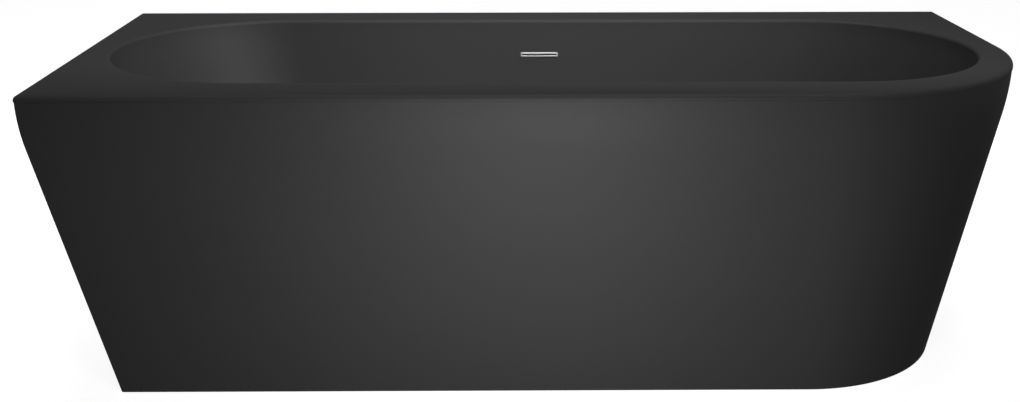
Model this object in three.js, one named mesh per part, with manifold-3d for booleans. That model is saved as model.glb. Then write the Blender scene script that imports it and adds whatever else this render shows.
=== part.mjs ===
// Back-to-wall corner bath: acrylic basin and skirt on a steel frame with five levelling feet,
// pop-up waste, slot overflow and shallow trap. Millimetres, +Z up, +X towards the rounded end,
// +Y towards the wall, origin on the floor under the middle of the rim.
import * as THREE from "three";
import { mergeVertices } from "three/addons/utils/BufferGeometryUtils.js";
import Module from "manifold-3d";

const wasm = await Module();
wasm.setup();

// ---- driving dimensions ----
const gap = 0.3; // between pieces that touch
const overcut = 1; // how far a cutting solid runs past what it cuts
const length = 1800; // over the rim
const width = 800; // front edge of the rim to the wall
const height = 600; // floor to the top of the rim

const rimThickness = 11;
const rimEdgeRadius = 8;
const rimCornerRadius = 398; // front right corner of the rim
const footCornerRadius = 306; // the same corner of the skirt at the floor
const squareCornerRadius = 3; // front left corner of the rim
const squareFootRadius = 6; // the same corner at the floor

const rimAtSides = 100; // flat rim between basin and front or back edge
const rimAtEnds = 60; // flat rim between basin and left or right edge
const basinWall = 6;
const basinEdgeRadius = 8;
const basinFloorHeight = 150;
const basinFloorFall = 5; // towards the waste
const basinFloorThickness = 7; // at the waste
const sideSlope = THREE.MathUtils.degToRad(8);
const endSlope = THREE.MathUtils.degToRad(22);
const sideFillet = 95;
const endFillet = 130;

const skirtWall = 5;
const skirtSetBack = 1; // of the skirt's top under the rim's edge
const skirtFootInset = 97; // of the skirt at the floor
const skirtBend = 55; // from the rim's top down to the middle of the skirt's soft bend
const skirtBendReach = 43; // height that the bend takes above and below its middle
const skirtFloorClearance = 3;
const skirtFlange = 30; // turned in at the top and at the back

const battenThickness = 36;
const battenHeight = 42;
const battenSetIn = 2; // from the wall

const boardThickness = 18;
const boardSetIn = 8; // from the edge of the basin's flat floor
const boardHoleClearance = 9; // around the waste body's lip
const tubeSide = 25;
const tubeWall = 2;
const railSetIn = 5.3; // from the flat floor's edge to the long rails' middle
const railEndGap = 20; // from the rail's end to the flat floor's end
const railSplit = 90; // half the break in the rear rail, which leaves room for the waste
const endCrossSetIn = 90; // from the rail's end to the end cross bars' middle
const wasteCrossX = 112; // of the two cross bars beside the waste

const footSetIn = 45; // from the rail's end to the outer feet
const padRadius = 25;
const padHeight = 12;
const padTopRadius = 18;
const stemRadius = 6;
const threadClearance = 0.35;
const nutSize = 19; // across flats
const nutHeight = 8;
const lockNutHeight = 6;

const stayWidth = 30;
const stayThickness = 3;
const stayTab = 60; // up the back of the skirt
const frontStayX = 330;
const endStayY = 60;

const wasteSetIn = 85.3; // from the flat floor's edge to the waste's axis
const tailRadius = 20; // threaded tail of the waste's flange
const tailWall = 2.5;
const wasteHoleClearance = 4; // around the tail
const flangeOverlap = 15; // of the flange past its tail
const flangeThickness = 2.5;
const recessClearance = 3; // around the flange
const wasteRecessDepth = 3;
const tailLength = 34;
const sealThickness = 2;
const plugSetIn = 4; // from the flange's edge
const plugThickness = 4.5;
const plugStemRadius = 3;
const cartridgeRadius = 5; // barrel
const cartridgeCollar = 2; // past the barrel
const cartridgeCollarHeight = 3;
const cartridgeLength = 24;
const bridgeWidth = 18; // bar across the tail that holds the cartridge
const bridgeHeight = 5;
const wasteBodyWall = 6.7;
const wasteBodyLip = 8; // flange at the body's top
const threadWall = 4.7; // waste body's lower thread
const threadLength = 8;
const portLength = 11; // overflow port, past the body
const portAboveThread = 3;
const clampBelowBoard = 0.8; // from the lower clamp's band to the board

const hoseRadius = 12;
const hoseWall = 2.3;
const hoseFit = 0.7; // between the hose's bore and a barb
const barbWall = 2.2;
const clampWidth = 9;
const clampThickness = 1.2;
const clampHousing = 12; // length along the band
const clampHousingHeight = 5;
const clampScrewRadius = 3;
const clampScrewLength = 20;
const barbLength = 20; // inside the hose
const hoseBend = 85;
const hoseBelowBox = 6; // where its end is pushed up to on the spout
const hosePastSpout = 10; // straight before it bends
const hoseSetIn = 8; // of the upright run, from there

const overflowBelowRim = 76;
const slotLength = 80;
const slotHeight = 8;
const bezelWall = 1.6;
const bezelLip = 2;
const overflowBoxLength = 116;
const overflowBoxHeight = 52;
const overflowBoxDepth = 34;
const overflowBoxWall = 3;
const overflowBoxAboveSlot = 12;
const overflowGasketThickness = 2;
const spoutLength = 32;

const unionNutWall = 7.65;
const unionNutHeight = 19;
const unionNutAboveBowl = 3.1;
const trapWall = 3;
const trapShoulder = 12; // from the neck out to the bowl
const trapFloorClearance = 5;
const trapNeckStep = 1; // of the neck inside the waste body's thread
const dipTubeClearance = 2; // inside the neck
const dipTubeWall = 2;
const dipTubeFoot = 9; // above the bowl's floor
const outletRadius = 20; // outlet pipe
const outletWall = 1.9;
const socketBelowBowlTop = 0.7;
const outletSocketLength = 30; // past the bowl
const outletNutWall = 6.4;
const outletNutLength = 26;
const pipeInSocket = 24; // length of the pipe's end inside the socket
const outletWallGap = 8; // between the pipe's end and the wall

// ---- finishes ----
const finish = (color, roughness, metalness = 0) =>
  new THREE.MeshStandardMaterial({ color, roughness, metalness });
const acrylic = finish(0x2f3133, 0.45);
const chrome = finish(0xc9ccd0, 0.15, 1);
const zincedSteel = finish(0xa8acb0, 0.4, 1);
const blackRubber = finish(0x202020, 0.9);
const whitePlastic = finish(0xe4e4e0, 0.5);
const blackPlastic = finish(0x1d1d1f, 0.55);
const chipboard = finish(0xb99b6b, 0.9);
const softwood = finish(0xcfae7a, 0.85);
const brass = finish(0xb89a4e, 0.35, 1);

const bath = new THREE.Group();

// ---- solids ----

// A closed geometry as a solid that can be cut and joined.
function solidOf(geometry) {
  const plain = geometry.clone();
  plain.deleteAttribute("normal");
  plain.deleteAttribute("uv");
  const merged = mergeVertices(plain, 1e-3);
  const corners = merged.index.array;
  const kept = [];
  for (let i = 0; i < corners.length; i += 3) {
    const [a, b, c] = [corners[i], corners[i + 1], corners[i + 2]];
    if (a !== b && b !== c && a !== c) kept.push(a, b, c);
  }
  return new wasm.Manifold(
    new wasm.Mesh({
      numProp: 3,
      vertProperties: merged.attributes.position.array,
      triVerts: new Uint32Array(kept),
    }),
  );
}

function geometryOf(solid) {
  const { vertProperties, triVerts, numProp } = solid.getMesh();
  const places = new Float32Array((vertProperties.length / numProp) * 3);
  for (let i = 0; i < places.length / 3; i++)
    for (let k = 0; k < 3; k++) places[3 * i + k] = vertProperties[numProp * i + k];
  const geometry = new THREE.BufferGeometry();
  geometry.setAttribute("position", new THREE.BufferAttribute(places, 3));
  geometry.setIndex(new THREE.BufferAttribute(triVerts, 1));
  geometry.computeVertexNormals();
  return geometry;
}

function block(x, y, z) {
  const [[x0, x1], [y0, y1], [z0, z1]] = [x, y, z];
  const box = new THREE.BoxGeometry(x1 - x0, y1 - y0, z1 - z0);
  return solidOf(box.translate((x0 + x1) / 2, (y0 + y1) / 2, (z0 + z1) / 2));
}

// A round bar along Z. sides of 6 makes a hexagon.
function bar(radius, z0, z1, sides = 20) {
  const cylinder = new THREE.CylinderGeometry(radius, radius, z1 - z0, sides);
  return solidOf(cylinder.rotateX(Math.PI / 2).translate(0, 0, (z0 + z1) / 2));
}

// The same along Y.
function barAlongY(radius, y0, y1, sides = 20) {
  const cylinder = new THREE.CylinderGeometry(radius, radius, y1 - y0, sides);
  return solidOf(cylinder.translate(0, (y0 + y1) / 2, 0));
}

// A solid turned about Z from (radius, z) points. The outline runs anticlockwise.
function turned(outline, sides = 22) {
  const points = outline.map(([radius, z]) => new THREE.Vector2(radius, z));
  return solidOf(new THREE.LatheGeometry(points, sides).rotateX(Math.PI / 2));
}

function ring(inner, outer, z0, z1, sides = 22) {
  return turned(
    [[inner, z0], [outer, z0], [outer, z1], [inner, z1], [inner, z0]],
    sides,
  );
}

const hexRadius = (acrossFlats) => acrossFlats / 2 / Math.cos(Math.PI / 6);

// A solid through a stack of level rings of equal count, each anticlockwise seen from above.
function stack(rings) {
  const count = rings[0].length;
  const places = rings.flat().flatMap((p) => [p.x, p.y, p.z]);
  const faces = [];
  for (let r = 0; r + 1 < rings.length; r++)
    for (let i = 0; i < count; i++) {
      const [a, b] = [r * count + i, r * count + ((i + 1) % count)];
      faces.push(a, b, b + count, a, b + count, a + count);
    }
  const top = (rings.length - 1) * count;
  for (let i = 1; i + 1 < count; i++) {
    faces.push(0, i + 1, i);
    faces.push(top, top + i, top + i + 1);
  }
  const geometry = new THREE.BufferGeometry();
  geometry.setAttribute("position", new THREE.Float32BufferAttribute(places, 3));
  geometry.setIndex(faces);
  return solidOf(geometry);
}

function add(name, solid, material, parent = bath) {
  const mesh = new THREE.Mesh(geometryOf(solid), material);
  mesh.name = name;
  parent.add(mesh);
  return mesh;
}

// ---- plan outlines ----

function arc(cx, cy, radius, from, to, steps, z) {
  return Array.from({ length: steps + 1 }, (_, i) => {
    const turn = from + ((to - from) * i) / steps;
    return new THREE.Vector3(cx + radius * Math.cos(turn), cy + radius * Math.sin(turn), z);
  });
}

// The rim's outline at height z, moved in by inset on the three free sides and by back at the wall.
function outline(z, inset, back = 0) {
  const share = Math.min(inset / skirtFootInset, 1);
  const square = THREE.MathUtils.lerp(squareCornerRadius, squareFootRadius, share);
  const round = THREE.MathUtils.lerp(rimCornerRadius, footCornerRadius, share);
  const [left, right] = [-length / 2 + inset, length / 2 - inset];
  const [front, wallY] = [-width / 2 + inset, width / 2 - back];
  const quarter = Math.PI / 2;
  return [
    new THREE.Vector3(left, wallY, z),
    ...arc(left + square, front + square, square, 2 * quarter, 3 * quarter, 4, z),
    ...arc(right - round, front + round, round, -quarter, 0, 18, z),
    new THREE.Vector3(right, wallY, z),
  ];
}

// A long oval with round ends: halfLength to the ends, halfWidth to the sides.
function oval(z, halfLength, halfWidth) {
  const centre = halfLength - halfWidth;
  const quarter = Math.PI / 2;
  return [
    ...arc(-centre, 0, halfWidth, quarter, 3 * quarter, 20, z),
    ...arc(centre, 0, halfWidth, -quarter, quarter, 20, z),
  ];
}

// ---- basin ----

const ovalHalfLength = length / 2 - rimAtEnds;
const ovalHalfWidth = width / 2 - rimAtSides;
const wallTop = height - basinEdgeRadius;

// How far the basin's wall has come in at height z. thick is 0 inside and the wall's
// thickness outside. A straight slope ends in a fillet that lies flat on the floor.
function wallInset(z, slope, fillet, thick = 0) {
  const radius = fillet + thick;
  const floor = basinFloorHeight - thick;
  const shift = thick / Math.cos(slope);
  const tangent = floor + radius * (1 - Math.sin(slope));
  if (z >= tangent) return (wallTop - z) * Math.tan(slope) - shift;
  const centre = (wallTop - tangent) * Math.tan(slope) - shift + radius * Math.cos(slope);
  const rise = THREE.MathUtils.clamp((floor + radius - z) / radius, -1, 1);
  return centre - radius * Math.sqrt(1 - rise * rise);
}

function basinRing(z, thick = 0) {
  return oval(
    z,
    ovalHalfLength - wallInset(z, endSlope, endFillet, thick),
    ovalHalfWidth - wallInset(z, sideSlope, sideFillet, thick),
  );
}

// Heights of the fillet's rings, from the floor up.
function filletHeights(thick) {
  const radius = sideFillet + thick;
  const steps = 6;
  return Array.from({ length: steps + 1 }, (_, i) => {
    const turn = THREE.MathUtils.lerp(Math.PI / 2, sideSlope, i / steps);
    return basinFloorHeight - thick + radius * (1 - Math.sin(turn));
  });
}

const basinUnderside = basinFloorHeight - basinFloorFall - basinFloorThickness;
const endFilletTop = basinFloorHeight + endFillet * (1 - Math.sin(endSlope));
const floorHalfLength =
  ovalHalfLength - wallInset(basinFloorHeight, endSlope, endFillet);
const floorHalfWidth =
  ovalHalfWidth - wallInset(basinFloorHeight, sideSlope, sideFillet);
const wasteY = floorHalfWidth - wasteSetIn;
const wasteHoleRadius = tailRadius + wasteHoleClearance;
const flangeRadius = tailRadius + flangeOverlap;
const drain = new THREE.Vector3(0, wasteY, basinFloorHeight - basinFloorFall);

function basinShell() {
  const edge = [0, 30, 60, 90].map((degrees) => THREE.MathUtils.degToRad(degrees));
  const rim = stack([
    outline(height - rimThickness, 0),
    ...edge.map((turn) =>
      outline(
        height - rimEdgeRadius * (1 - Math.sin(turn)),
        rimEdgeRadius * (1 - Math.cos(turn)),
      ),
    ),
  ]);
  const outerHeights = filletHeights(basinWall).filter((z) => z > basinUnderside);
  const tub = stack([
    basinRing(basinUnderside, basinWall),
    ...outerHeights.map((z) => basinRing(z, basinWall)),
    basinRing(endFilletTop, basinWall),
    basinRing(height - rimThickness / 2, basinWall),
  ]);
  const floorRing = basinRing(basinFloorHeight);
  const hollow = stack([
    floorRing.map(() => drain.clone()),
    ...filletHeights(0).map((z) => basinRing(z)),
    basinRing(endFilletTop),
    ...edge.map((turn) => {
      const out = basinEdgeRadius * (1 - Math.cos(turn));
      const z = wallTop + basinEdgeRadius * Math.sin(turn);
      return oval(z, ovalHalfLength + out, ovalHalfWidth + out);
    }),
    oval(height + gap, ovalHalfLength + basinEdgeRadius, ovalHalfWidth + basinEdgeRadius),
  ]);
  const wasteHole = bar(wasteHoleRadius, 0, height).translate([0, wasteY, 0]);
  const recess = bar(flangeRadius + recessClearance, recessFloor, height, 32);
  const slot = block(
    [-slotLength / 2, slotLength / 2],
    [-2 * basinWall, 2 * basinWall],
    [-slotHeight / 2, slotHeight / 2],
  );
  return rim
    .add(tub)
    .subtract(hollow)
    .subtract(wasteHole)
    .subtract(recess.translate([0, wasteY, 0]))
    .subtract(onRearWall(slot));
}

// ---- skirt ----

const skirtTop = height - rimThickness - gap;
const bendMiddle = height - skirtBend;
const skirtSlope = (skirtFootInset - skirtSetBack) / bendMiddle;

// How far in the skirt's face is at height z: upright under the rim, a soft bend, a straight lean.
function skirtInset(z) {
  const below = bendMiddle - z;
  if (below <= -skirtBendReach) return skirtSetBack;
  if (below >= skirtBendReach) return skirtSetBack + below * skirtSlope;
  const along = below + skirtBendReach;
  return skirtSetBack + (skirtSlope * along * along) / (4 * skirtBendReach);
}

function outerSkirt() {
  const bendSteps = 5;
  const bend = Array.from(
    { length: bendSteps + 1 },
    (_, i) => bendMiddle - skirtBendReach + (2 * skirtBendReach * i) / bendSteps,
  );
  const levels = [skirtFloorClearance, ...bend, skirtTop];
  const flangeBottomZ = skirtTop - skirtWall;
  const inner = [0, ...bend.filter((z) => z < flangeBottomZ), flangeBottomZ];
  const body = stack(levels.map((z) => outline(z, skirtInset(z))));
  const hollow = stack(
    inner.map((z) => outline(z, skirtInset(z) + skirtWall, skirtWall)),
  );
  const open = skirtSetBack + skirtFlange;
  const mouth = stack([0, height].map((z) => outline(z, open, -skirtFlange)));
  const keptTop = mouth.intersect(block([-length, length], [-width, width], [bend[0], height]));
  const sideReach = width / 2 - skirtWall - gap;
  const rearWindow = stack(
    [0, bend[0], bend[bendSteps], height].map((z) => {
      const half = length / 2 - skirtInset(z) - skirtFlange;
      return [
        new THREE.Vector3(-half, sideReach, z),
        new THREE.Vector3(half, sideReach, z),
        new THREE.Vector3(half, width, z),
        new THREE.Vector3(-half, width, z),
      ];
    }),
  );
  return body.subtract(hollow).subtract(keptTop).subtract(rearWindow);
}

// ---- heights that follow from the stack under the basin ----

const recessFloor = drain.z - wasteRecessDepth;
const boardTop = basinUnderside - gap;
const boardBottom = boardTop - boardThickness;
const railTop = boardBottom - gap;
const railBottom = railTop - tubeSide;
const railHalf = floorHalfLength - railEndGap;
const railY = floorHalfWidth - railSetIn;
const wasteBodyRadius = tailRadius + gap + wasteBodyWall;
const nutBottom = railBottom - gap - nutHeight;
const lockNutBottom = nutBottom - gap - lockNutHeight;

// ---- base board, batten and frame ----

function baseBoard() {
  const [halfX, halfY] = [floorHalfLength - boardSetIn, floorHalfWidth - boardSetIn];
  const board = stack([boardBottom, boardTop].map((z) => oval(z, halfX, halfY)));
  const hole = bar(wasteBodyRadius + wasteBodyLip + boardHoleClearance, 0, height);
  return board.subtract(hole.translate([0, wasteY, 0]));
}

function rearRimBatten() {
  const half = length / 2 - skirtSetBack - skirtFlange - battenSetIn;
  const back = width / 2 - battenSetIn;
  return block([-half, half], [back - battenThickness, back], [skirtTop - battenHeight, skirtTop]);
}

// A square tube along X, from x0 to x1, whose axis is at y and the rail's own height.
function tubeAlongX(x0, x1, y) {
  const [half, bore, middle] = [tubeSide / 2, tubeSide / 2 - tubeWall, railTop - tubeSide / 2];
  return block([x0, x1], [y - half, y + half], [railBottom, railTop]).subtract(
    block([x0 - overcut, x1 + overcut], [y - bore, y + bore], [middle - bore, middle + bore]),
  );
}

function crossBar(x) {
  const reach = railY - tubeSide / 2 - gap;
  const along = tubeAlongX(-reach, reach, 0).rotate([0, 0, 90]);
  return along.translate([x, 0, 0]);
}

const outerFootX = railHalf - footSetIn;
const feet = [
  [-outerFootX, -railY],
  [0, -railY],
  [outerFootX, -railY],
  [-outerFootX, railY],
  [outerFootX, railY],
];
const stemHoleRadius = stemRadius + threadClearance;
const stemHoles = feet.map(([x, y]) => bar(stemHoleRadius, 0, height, 16).translate([x, y, 0]));

function rail(x0, x1, y) {
  return stemHoles.reduce((tube, hole) => tube.subtract(hole), tubeAlongX(x0, x1, y));
}

add("outer_skirt", outerSkirt(), acrylic);
add("rear_rim_batten", rearRimBatten(), softwood);
add("base_board", baseBoard(), chipboard);
add("frame_rail_front", rail(-railHalf, railHalf, -railY), zincedSteel);
add("frame_rail_rear_left", rail(-railHalf, -railSplit, railY), zincedSteel);
add("frame_rail_rear_right", rail(railSplit, railHalf, railY), zincedSteel);
const endCrossX = railHalf - endCrossSetIn;
add("frame_cross_left", crossBar(-endCrossX), zincedSteel);
add("frame_cross_waste_left", crossBar(-wasteCrossX), zincedSteel);
add("frame_cross_waste_right", crossBar(wasteCrossX), zincedSteel);
add("frame_cross_right", crossBar(endCrossX), zincedSteel);

// ---- feet ----

const stemTop = railTop - gap;
feet.forEach(([x, y], i) => {
  const foot = new THREE.Group();
  foot.position.set(x, y, 0);
  bath.add(foot);
  const pad = turned([
    [0, 0], [padRadius, 0], [padRadius, padHeight / 3],
    [padTopRadius, padHeight], [0, padHeight],
  ]);
  const socket = bar(stemRadius + gap, padHeight / 2, height, 16);
  const threaded = nutHeight + lockNutHeight;
  const thread = bar(stemHoleRadius, 0, height, 16);
  const hexagon = hexRadius(nutSize);
  add(`foot_${i + 1}_pad`, pad.subtract(socket), blackRubber, foot);
  add(`foot_${i + 1}_stem`, bar(stemRadius, padHeight / 2 + gap, stemTop, 16), zincedSteel, foot);
  const railNut = bar(hexagon, nutBottom, nutBottom + nutHeight, 6).subtract(thread);
  const lockNut = bar(hexagon, lockNutBottom, lockNutBottom + lockNutHeight, 6);
  add(`foot_${i + 1}_rail_nut`, railNut, zincedSteel, foot);
  add(`foot_${i + 1}_lock_nut`, lockNut.rotate([0, 0, threaded]).subtract(thread), zincedSteel, foot);
});

// ---- skirt stays ----

// A flat strip that runs out under the frame and turns up the back of the skirt. Its profile is
// drawn outwards from where it starts to the skirt's inner face.
function stay(start, edge) {
  const low = railBottom - gap - stayThickness;
  const reach = (z) => edge - skirtInset(z) - skirtWall - 2 * gap;
  const [top, high] = [low + stayTab, low + stayThickness];
  const profile = new THREE.Shape([
    new THREE.Vector2(start, low),
    new THREE.Vector2(reach(low), low),
    new THREE.Vector2(reach(top), top),
    new THREE.Vector2(reach(top) - stayThickness, top),
    new THREE.Vector2(reach(high) - stayThickness, high),
    new THREE.Vector2(start, high),
  ]);
  const strip = new THREE.ExtrudeGeometry(profile, { depth: stayWidth, bevelEnabled: false });
  return solidOf(strip.translate(0, 0, -stayWidth / 2).rotateX(Math.PI / 2));
}

const frontStay = stay(railY - tubeSide / 2, width / 2).rotate([0, 0, -90]);
const endStay = stay(endCrossX - tubeSide / 2, length / 2);
add("skirt_stay_front_left", frontStay.translate([-frontStayX, 0, 0]), zincedSteel);
add("skirt_stay_front_right", frontStay.translate([frontStayX, 0, 0]), zincedSteel);
add("skirt_stay_right_end", endStay.translate([0, endStayY, 0]), zincedSteel);
add("skirt_stay_left_end", endStay.rotate([0, 0, 180]).translate([0, endStayY, 0]), zincedSteel);

// ---- waste ----

const waste = new THREE.Group();
waste.position.set(0, wasteY, 0);
bath.add(waste);

const upperSealTop = recessFloor + gap + sealThickness;
const flangeBottom = upperSealTop + gap;
const flangeTop = flangeBottom + flangeThickness;
const tailBottom = flangeBottom - tailLength;
const lowerSealTop = basinUnderside - gap;
const wasteBodyTop = lowerSealTop - sealThickness - gap;
const hoseClampRadius = hoseRadius + gap + clampThickness;
const portZ = boardBottom - clampBelowBoard - hoseClampRadius;
const portEnd = wasteBodyRadius + portLength;
const barbRadius = hoseRadius - hoseWall - hoseFit;
const threadTop = portZ - barbRadius - portAboveThread;
const wasteBodyBottom = threadTop - threadLength;
const bridgeTop = flangeBottom - bridgeHeight;

const tailBore = tailRadius - tailWall;
const cartridgeBore = plugStemRadius + gap;
const cartridgeTop = bridgeTop + gap;
const [edgeChamfer, funnel] = [1, 3];
const flangePlate = turned([
  [tailBore, tailBottom], [tailRadius, tailBottom], [tailRadius, flangeBottom],
  [flangeRadius, flangeBottom], [flangeRadius, flangeTop - edgeChamfer],
  [flangeRadius - edgeChamfer, flangeTop], [tailBore + funnel, flangeTop],
  [tailBore, flangeTop - funnel], [tailBore, tailBottom],
]);
const bridge = block(
  [-tailRadius, tailRadius],
  [-bridgeWidth / 2, bridgeWidth / 2],
  [bridgeTop - bridgeHeight, bridgeTop],
).intersect(bar(tailBore + tailWall / 2, 0, height));
const cartridgeHole = bar(cartridgeRadius + gap, 0, height, 20);
add("waste_flange", flangePlate.add(bridge).subtract(cartridgeHole), chrome, waste);
const bodyLipRadius = wasteBodyRadius + wasteBodyLip;
add("waste_seal_upper", ring(tailRadius + gap, flangeRadius - edgeChamfer, recessFloor + gap, upperSealTop),
  blackRubber, waste);
add("waste_seal_lower",
  ring(wasteHoleRadius, bodyLipRadius, lowerSealTop - sealThickness, lowerSealTop),
  blackRubber, waste);
// The cartridge's collar rests on the bridge and its barrel hangs through it.
const cartridgeBottom = cartridgeTop - cartridgeLength;
const collarRadius = cartridgeRadius + cartridgeCollar;
const collarTop = cartridgeTop + cartridgeCollarHeight;
add("waste_cartridge", turned([
  [cartridgeBore, cartridgeBottom], [cartridgeRadius, cartridgeBottom],
  [cartridgeRadius, cartridgeTop], [collarRadius, cartridgeTop],
  [collarRadius, collarTop], [cartridgeBore, collarTop], [cartridgeBore, cartridgeBottom],
], 20), brass, waste);

// The cap is hollow underneath within a flat sealing ring, and slightly domed on top.
const plugRadius = flangeRadius - plugSetIn;
const plugBottom = flangeTop + gap;
const plugTop = plugBottom + plugThickness;
const [plugHollow, plugSealWidth, plugShoulder, plugDome] = [1.5, 5, 3, 0.6];
add("waste_plug_cap", turned([
  [0, plugBottom + plugHollow],
  [plugRadius - plugSealWidth - plugHollow, plugBottom + plugHollow],
  [plugRadius - plugSealWidth, plugBottom],
  [plugRadius - edgeChamfer, plugBottom], [plugRadius, plugBottom + edgeChamfer],
  [plugRadius, plugTop - 2 * edgeChamfer], [plugRadius - plugShoulder, plugTop - plugDome],
  [plugRadius / 2, plugTop - plugDome / 6], [0, plugTop],
], 26), chrome, waste);
const plugStemBelowCartridge = 4;
add("waste_plug_stem",
  bar(plugStemRadius, cartridgeBottom - plugStemBelowCartridge, plugBottom + plugHollow - gap, 16),
  brass, waste);

const bodyBore = tailRadius + gap;
const threadRadius = bodyBore + threadWall;
const bodyLipHeight = 4;
const lipBottom = wasteBodyTop - bodyLipHeight;
const bodyShell = turned([
  [bodyBore, wasteBodyBottom], [threadRadius, wasteBodyBottom], [threadRadius, threadTop],
  [wasteBodyRadius, threadTop + edgeChamfer], [wasteBodyRadius, lipBottom - edgeChamfer],
  [bodyLipRadius, lipBottom], [bodyLipRadius, wasteBodyTop],
  [bodyBore, wasteBodyTop], [bodyBore, wasteBodyBottom],
]);
const barbBore = barbRadius - barbWall;
const port = barAlongY(barbRadius, bodyBore + wasteBodyWall / 2, portEnd + barbLength, 20);
const portHole = barAlongY(barbBore, tailRadius / 2, width, 16).translate([0, 0, portZ]);
add("waste_body", bodyShell.add(port.translate([0, 0, portZ])).subtract(portHole),
  blackPlastic, waste);

// ---- trap ----

const unionNutTop = threadTop - gap;
const unionNutBottom = unionNutTop - unionNutHeight;
const trapTop = unionNutBottom - unionNutAboveBowl;
const trapNeckRadius = threadRadius - trapNeckStep;
const trapRadius = trapNeckRadius + trapShoulder;
const bowlFloor = trapFloorClearance + trapWall;
const washerTop = wasteBodyBottom - gap;
const washerBottom = washerTop - sealThickness;
const dipFlangeTop = washerBottom - gap;
const dipFlangeBottom = dipFlangeTop - sealThickness;
const neckTop = dipFlangeBottom - gap;
const socketRadius = outletRadius + gap + trapWall;
const outletZ = trapTop - socketBelowBowlTop - socketRadius;
const neckBore = trapNeckRadius - trapWall;
const dipTubeRadius = neckBore - dipTubeClearance;
const pipeEnd = width / 2 - outletWallGap - wasteY;

add("trap_washer", ring(dipTubeRadius, trapNeckRadius, washerBottom, washerTop), blackRubber, waste);
const dipTube = turned([
  [dipTubeRadius - dipTubeWall, bowlFloor + dipTubeFoot],
  [dipTubeRadius, bowlFloor + dipTubeFoot], [dipTubeRadius, dipFlangeBottom],
  [trapNeckRadius, dipFlangeBottom], [trapNeckRadius, dipFlangeTop],
  [dipTubeRadius - dipTubeWall, dipFlangeTop],
  [dipTubeRadius - dipTubeWall, bowlFloor + dipTubeFoot],
]);
add("trap_dip_tube", dipTube, whitePlastic, waste);

const bowlCorner = 4;
const bowl = turned([
  [0, trapFloorClearance], [trapRadius - bowlCorner, trapFloorClearance],
  [trapRadius, trapFloorClearance + bowlCorner], [trapRadius, trapTop - bowlCorner],
  [trapRadius - bowlCorner, trapTop], [trapNeckRadius, trapTop], [trapNeckRadius, neckTop],
  [0, neckTop],
]);
const bowlHollow = turned([
  [0, bowlFloor], [trapRadius - trapWall, bowlFloor],
  [trapRadius - trapWall, trapTop - trapWall - bowlCorner / 2], [neckBore, trapTop - trapWall],
  [neckBore, height], [0, height],
]);
const socketEnd = trapRadius + outletSocketLength;
const socket = barAlongY(socketRadius, 0, socketEnd).translate([0, 0, outletZ]);
const socketStop = trapRadius + trapWall / 2;
const socketBore = barAlongY(outletRadius + gap, socketStop, height).translate([0, 0, outletZ]);
const throat = barAlongY(outletRadius - outletWall, 0, height).translate([0, 0, outletZ]);
add("trap_body", bowl.add(socket).subtract(bowlHollow).subtract(socketBore).subtract(throat),
  whitePlastic, waste);

// The union nut draws the trap's neck up against the waste body's thread.
const unionNutBore = threadRadius + threadClearance;
add("trap_union_nut",
  ring(unionNutBore, unionNutBore + unionNutWall, unionNutBottom, unionNutTop),
  whitePlastic, waste);

const [outletNutEndWall, outletNutPastSocket] = [4, 6];
const outletNutBore = socketRadius + gap;
const outletNut = barAlongY(outletNutBore + outletNutWall, 0, outletNutLength).subtract(
  barAlongY(outletNutBore, -overcut, outletNutLength - outletNutEndWall),
);
const outletNutHole = barAlongY(outletRadius + gap, -overcut, height);
const outletNutY = socketEnd - outletNutLength + outletNutPastSocket;
add("trap_outlet_nut",
  outletNut.subtract(outletNutHole).translate([0, outletNutY, outletZ]), whitePlastic, waste);
const pipe = barAlongY(outletRadius, socketEnd - pipeInSocket, pipeEnd).subtract(
  barAlongY(outletRadius - outletWall, 0, height),
);
add("outlet_pipe", pipe.translate([0, 0, outletZ]), whitePlastic, waste);

// ---- overflow ----

const slotZ = height - overflowBelowRim;
const slotY = ovalHalfWidth - wallInset(slotZ, sideSlope, sideFillet);
const sideSlopeDegrees = THREE.MathUtils.radToDeg(sideSlope);

// Puts a solid drawn around the slot, with +Y out through the wall, on the rear basin wall.
function onRearWall(solid) {
  return solid.rotate([-sideSlopeDegrees, 0, 0]).translate([0, slotY, slotZ]);
}

const gasketFront = basinWall + gap;
const gasketBack = gasketFront + overflowGasketThickness;
const boxFront = gasketBack + gap;
const boxBack = boxFront + overflowBoxDepth;
const boxTop = slotHeight / 2 + overflowBoxAboveSlot;
const boxBottom = boxTop - overflowBoxHeight;
const spoutY = (boxFront + boxBack) / 2;
const boxHalf = overflowBoxLength / 2;

const sleeveHalf = slotLength / 2 - gap;
const sleeveTop = slotHeight / 2 - gap;
const bezel = block(
  [-sleeveHalf - bezelLip, sleeveHalf + bezelLip],
  [-gap - bezelWall, -gap],
  [-sleeveTop - bezelLip, sleeveTop + bezelLip],
)
  .add(block([-sleeveHalf, sleeveHalf], [-gap - overcut, boxFront], [-sleeveTop, sleeveTop]))
  .subtract(block(
    [-sleeveHalf + bezelWall, sleeveHalf - bezelWall],
    [-height, height],
    [-sleeveTop + bezelWall, sleeveTop - bezelWall],
  ));
add("overflow_bezel", onRearWall(bezel), chrome);

const slotFit = 1; // of the gasket's and the box's holes around the slot
const gasketHole = block(
  [-slotLength / 2 - slotFit, slotLength / 2 + slotFit],
  [0, height],
  [-slotHeight / 2 - slotFit, slotHeight / 2 + slotFit],
);
const gasket = block(
  [-boxHalf, boxHalf], [gasketFront, gasketBack], [-boxTop, boxTop],
).subtract(gasketHole);
add("overflow_gasket", onRearWall(gasket), blackRubber);

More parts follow.
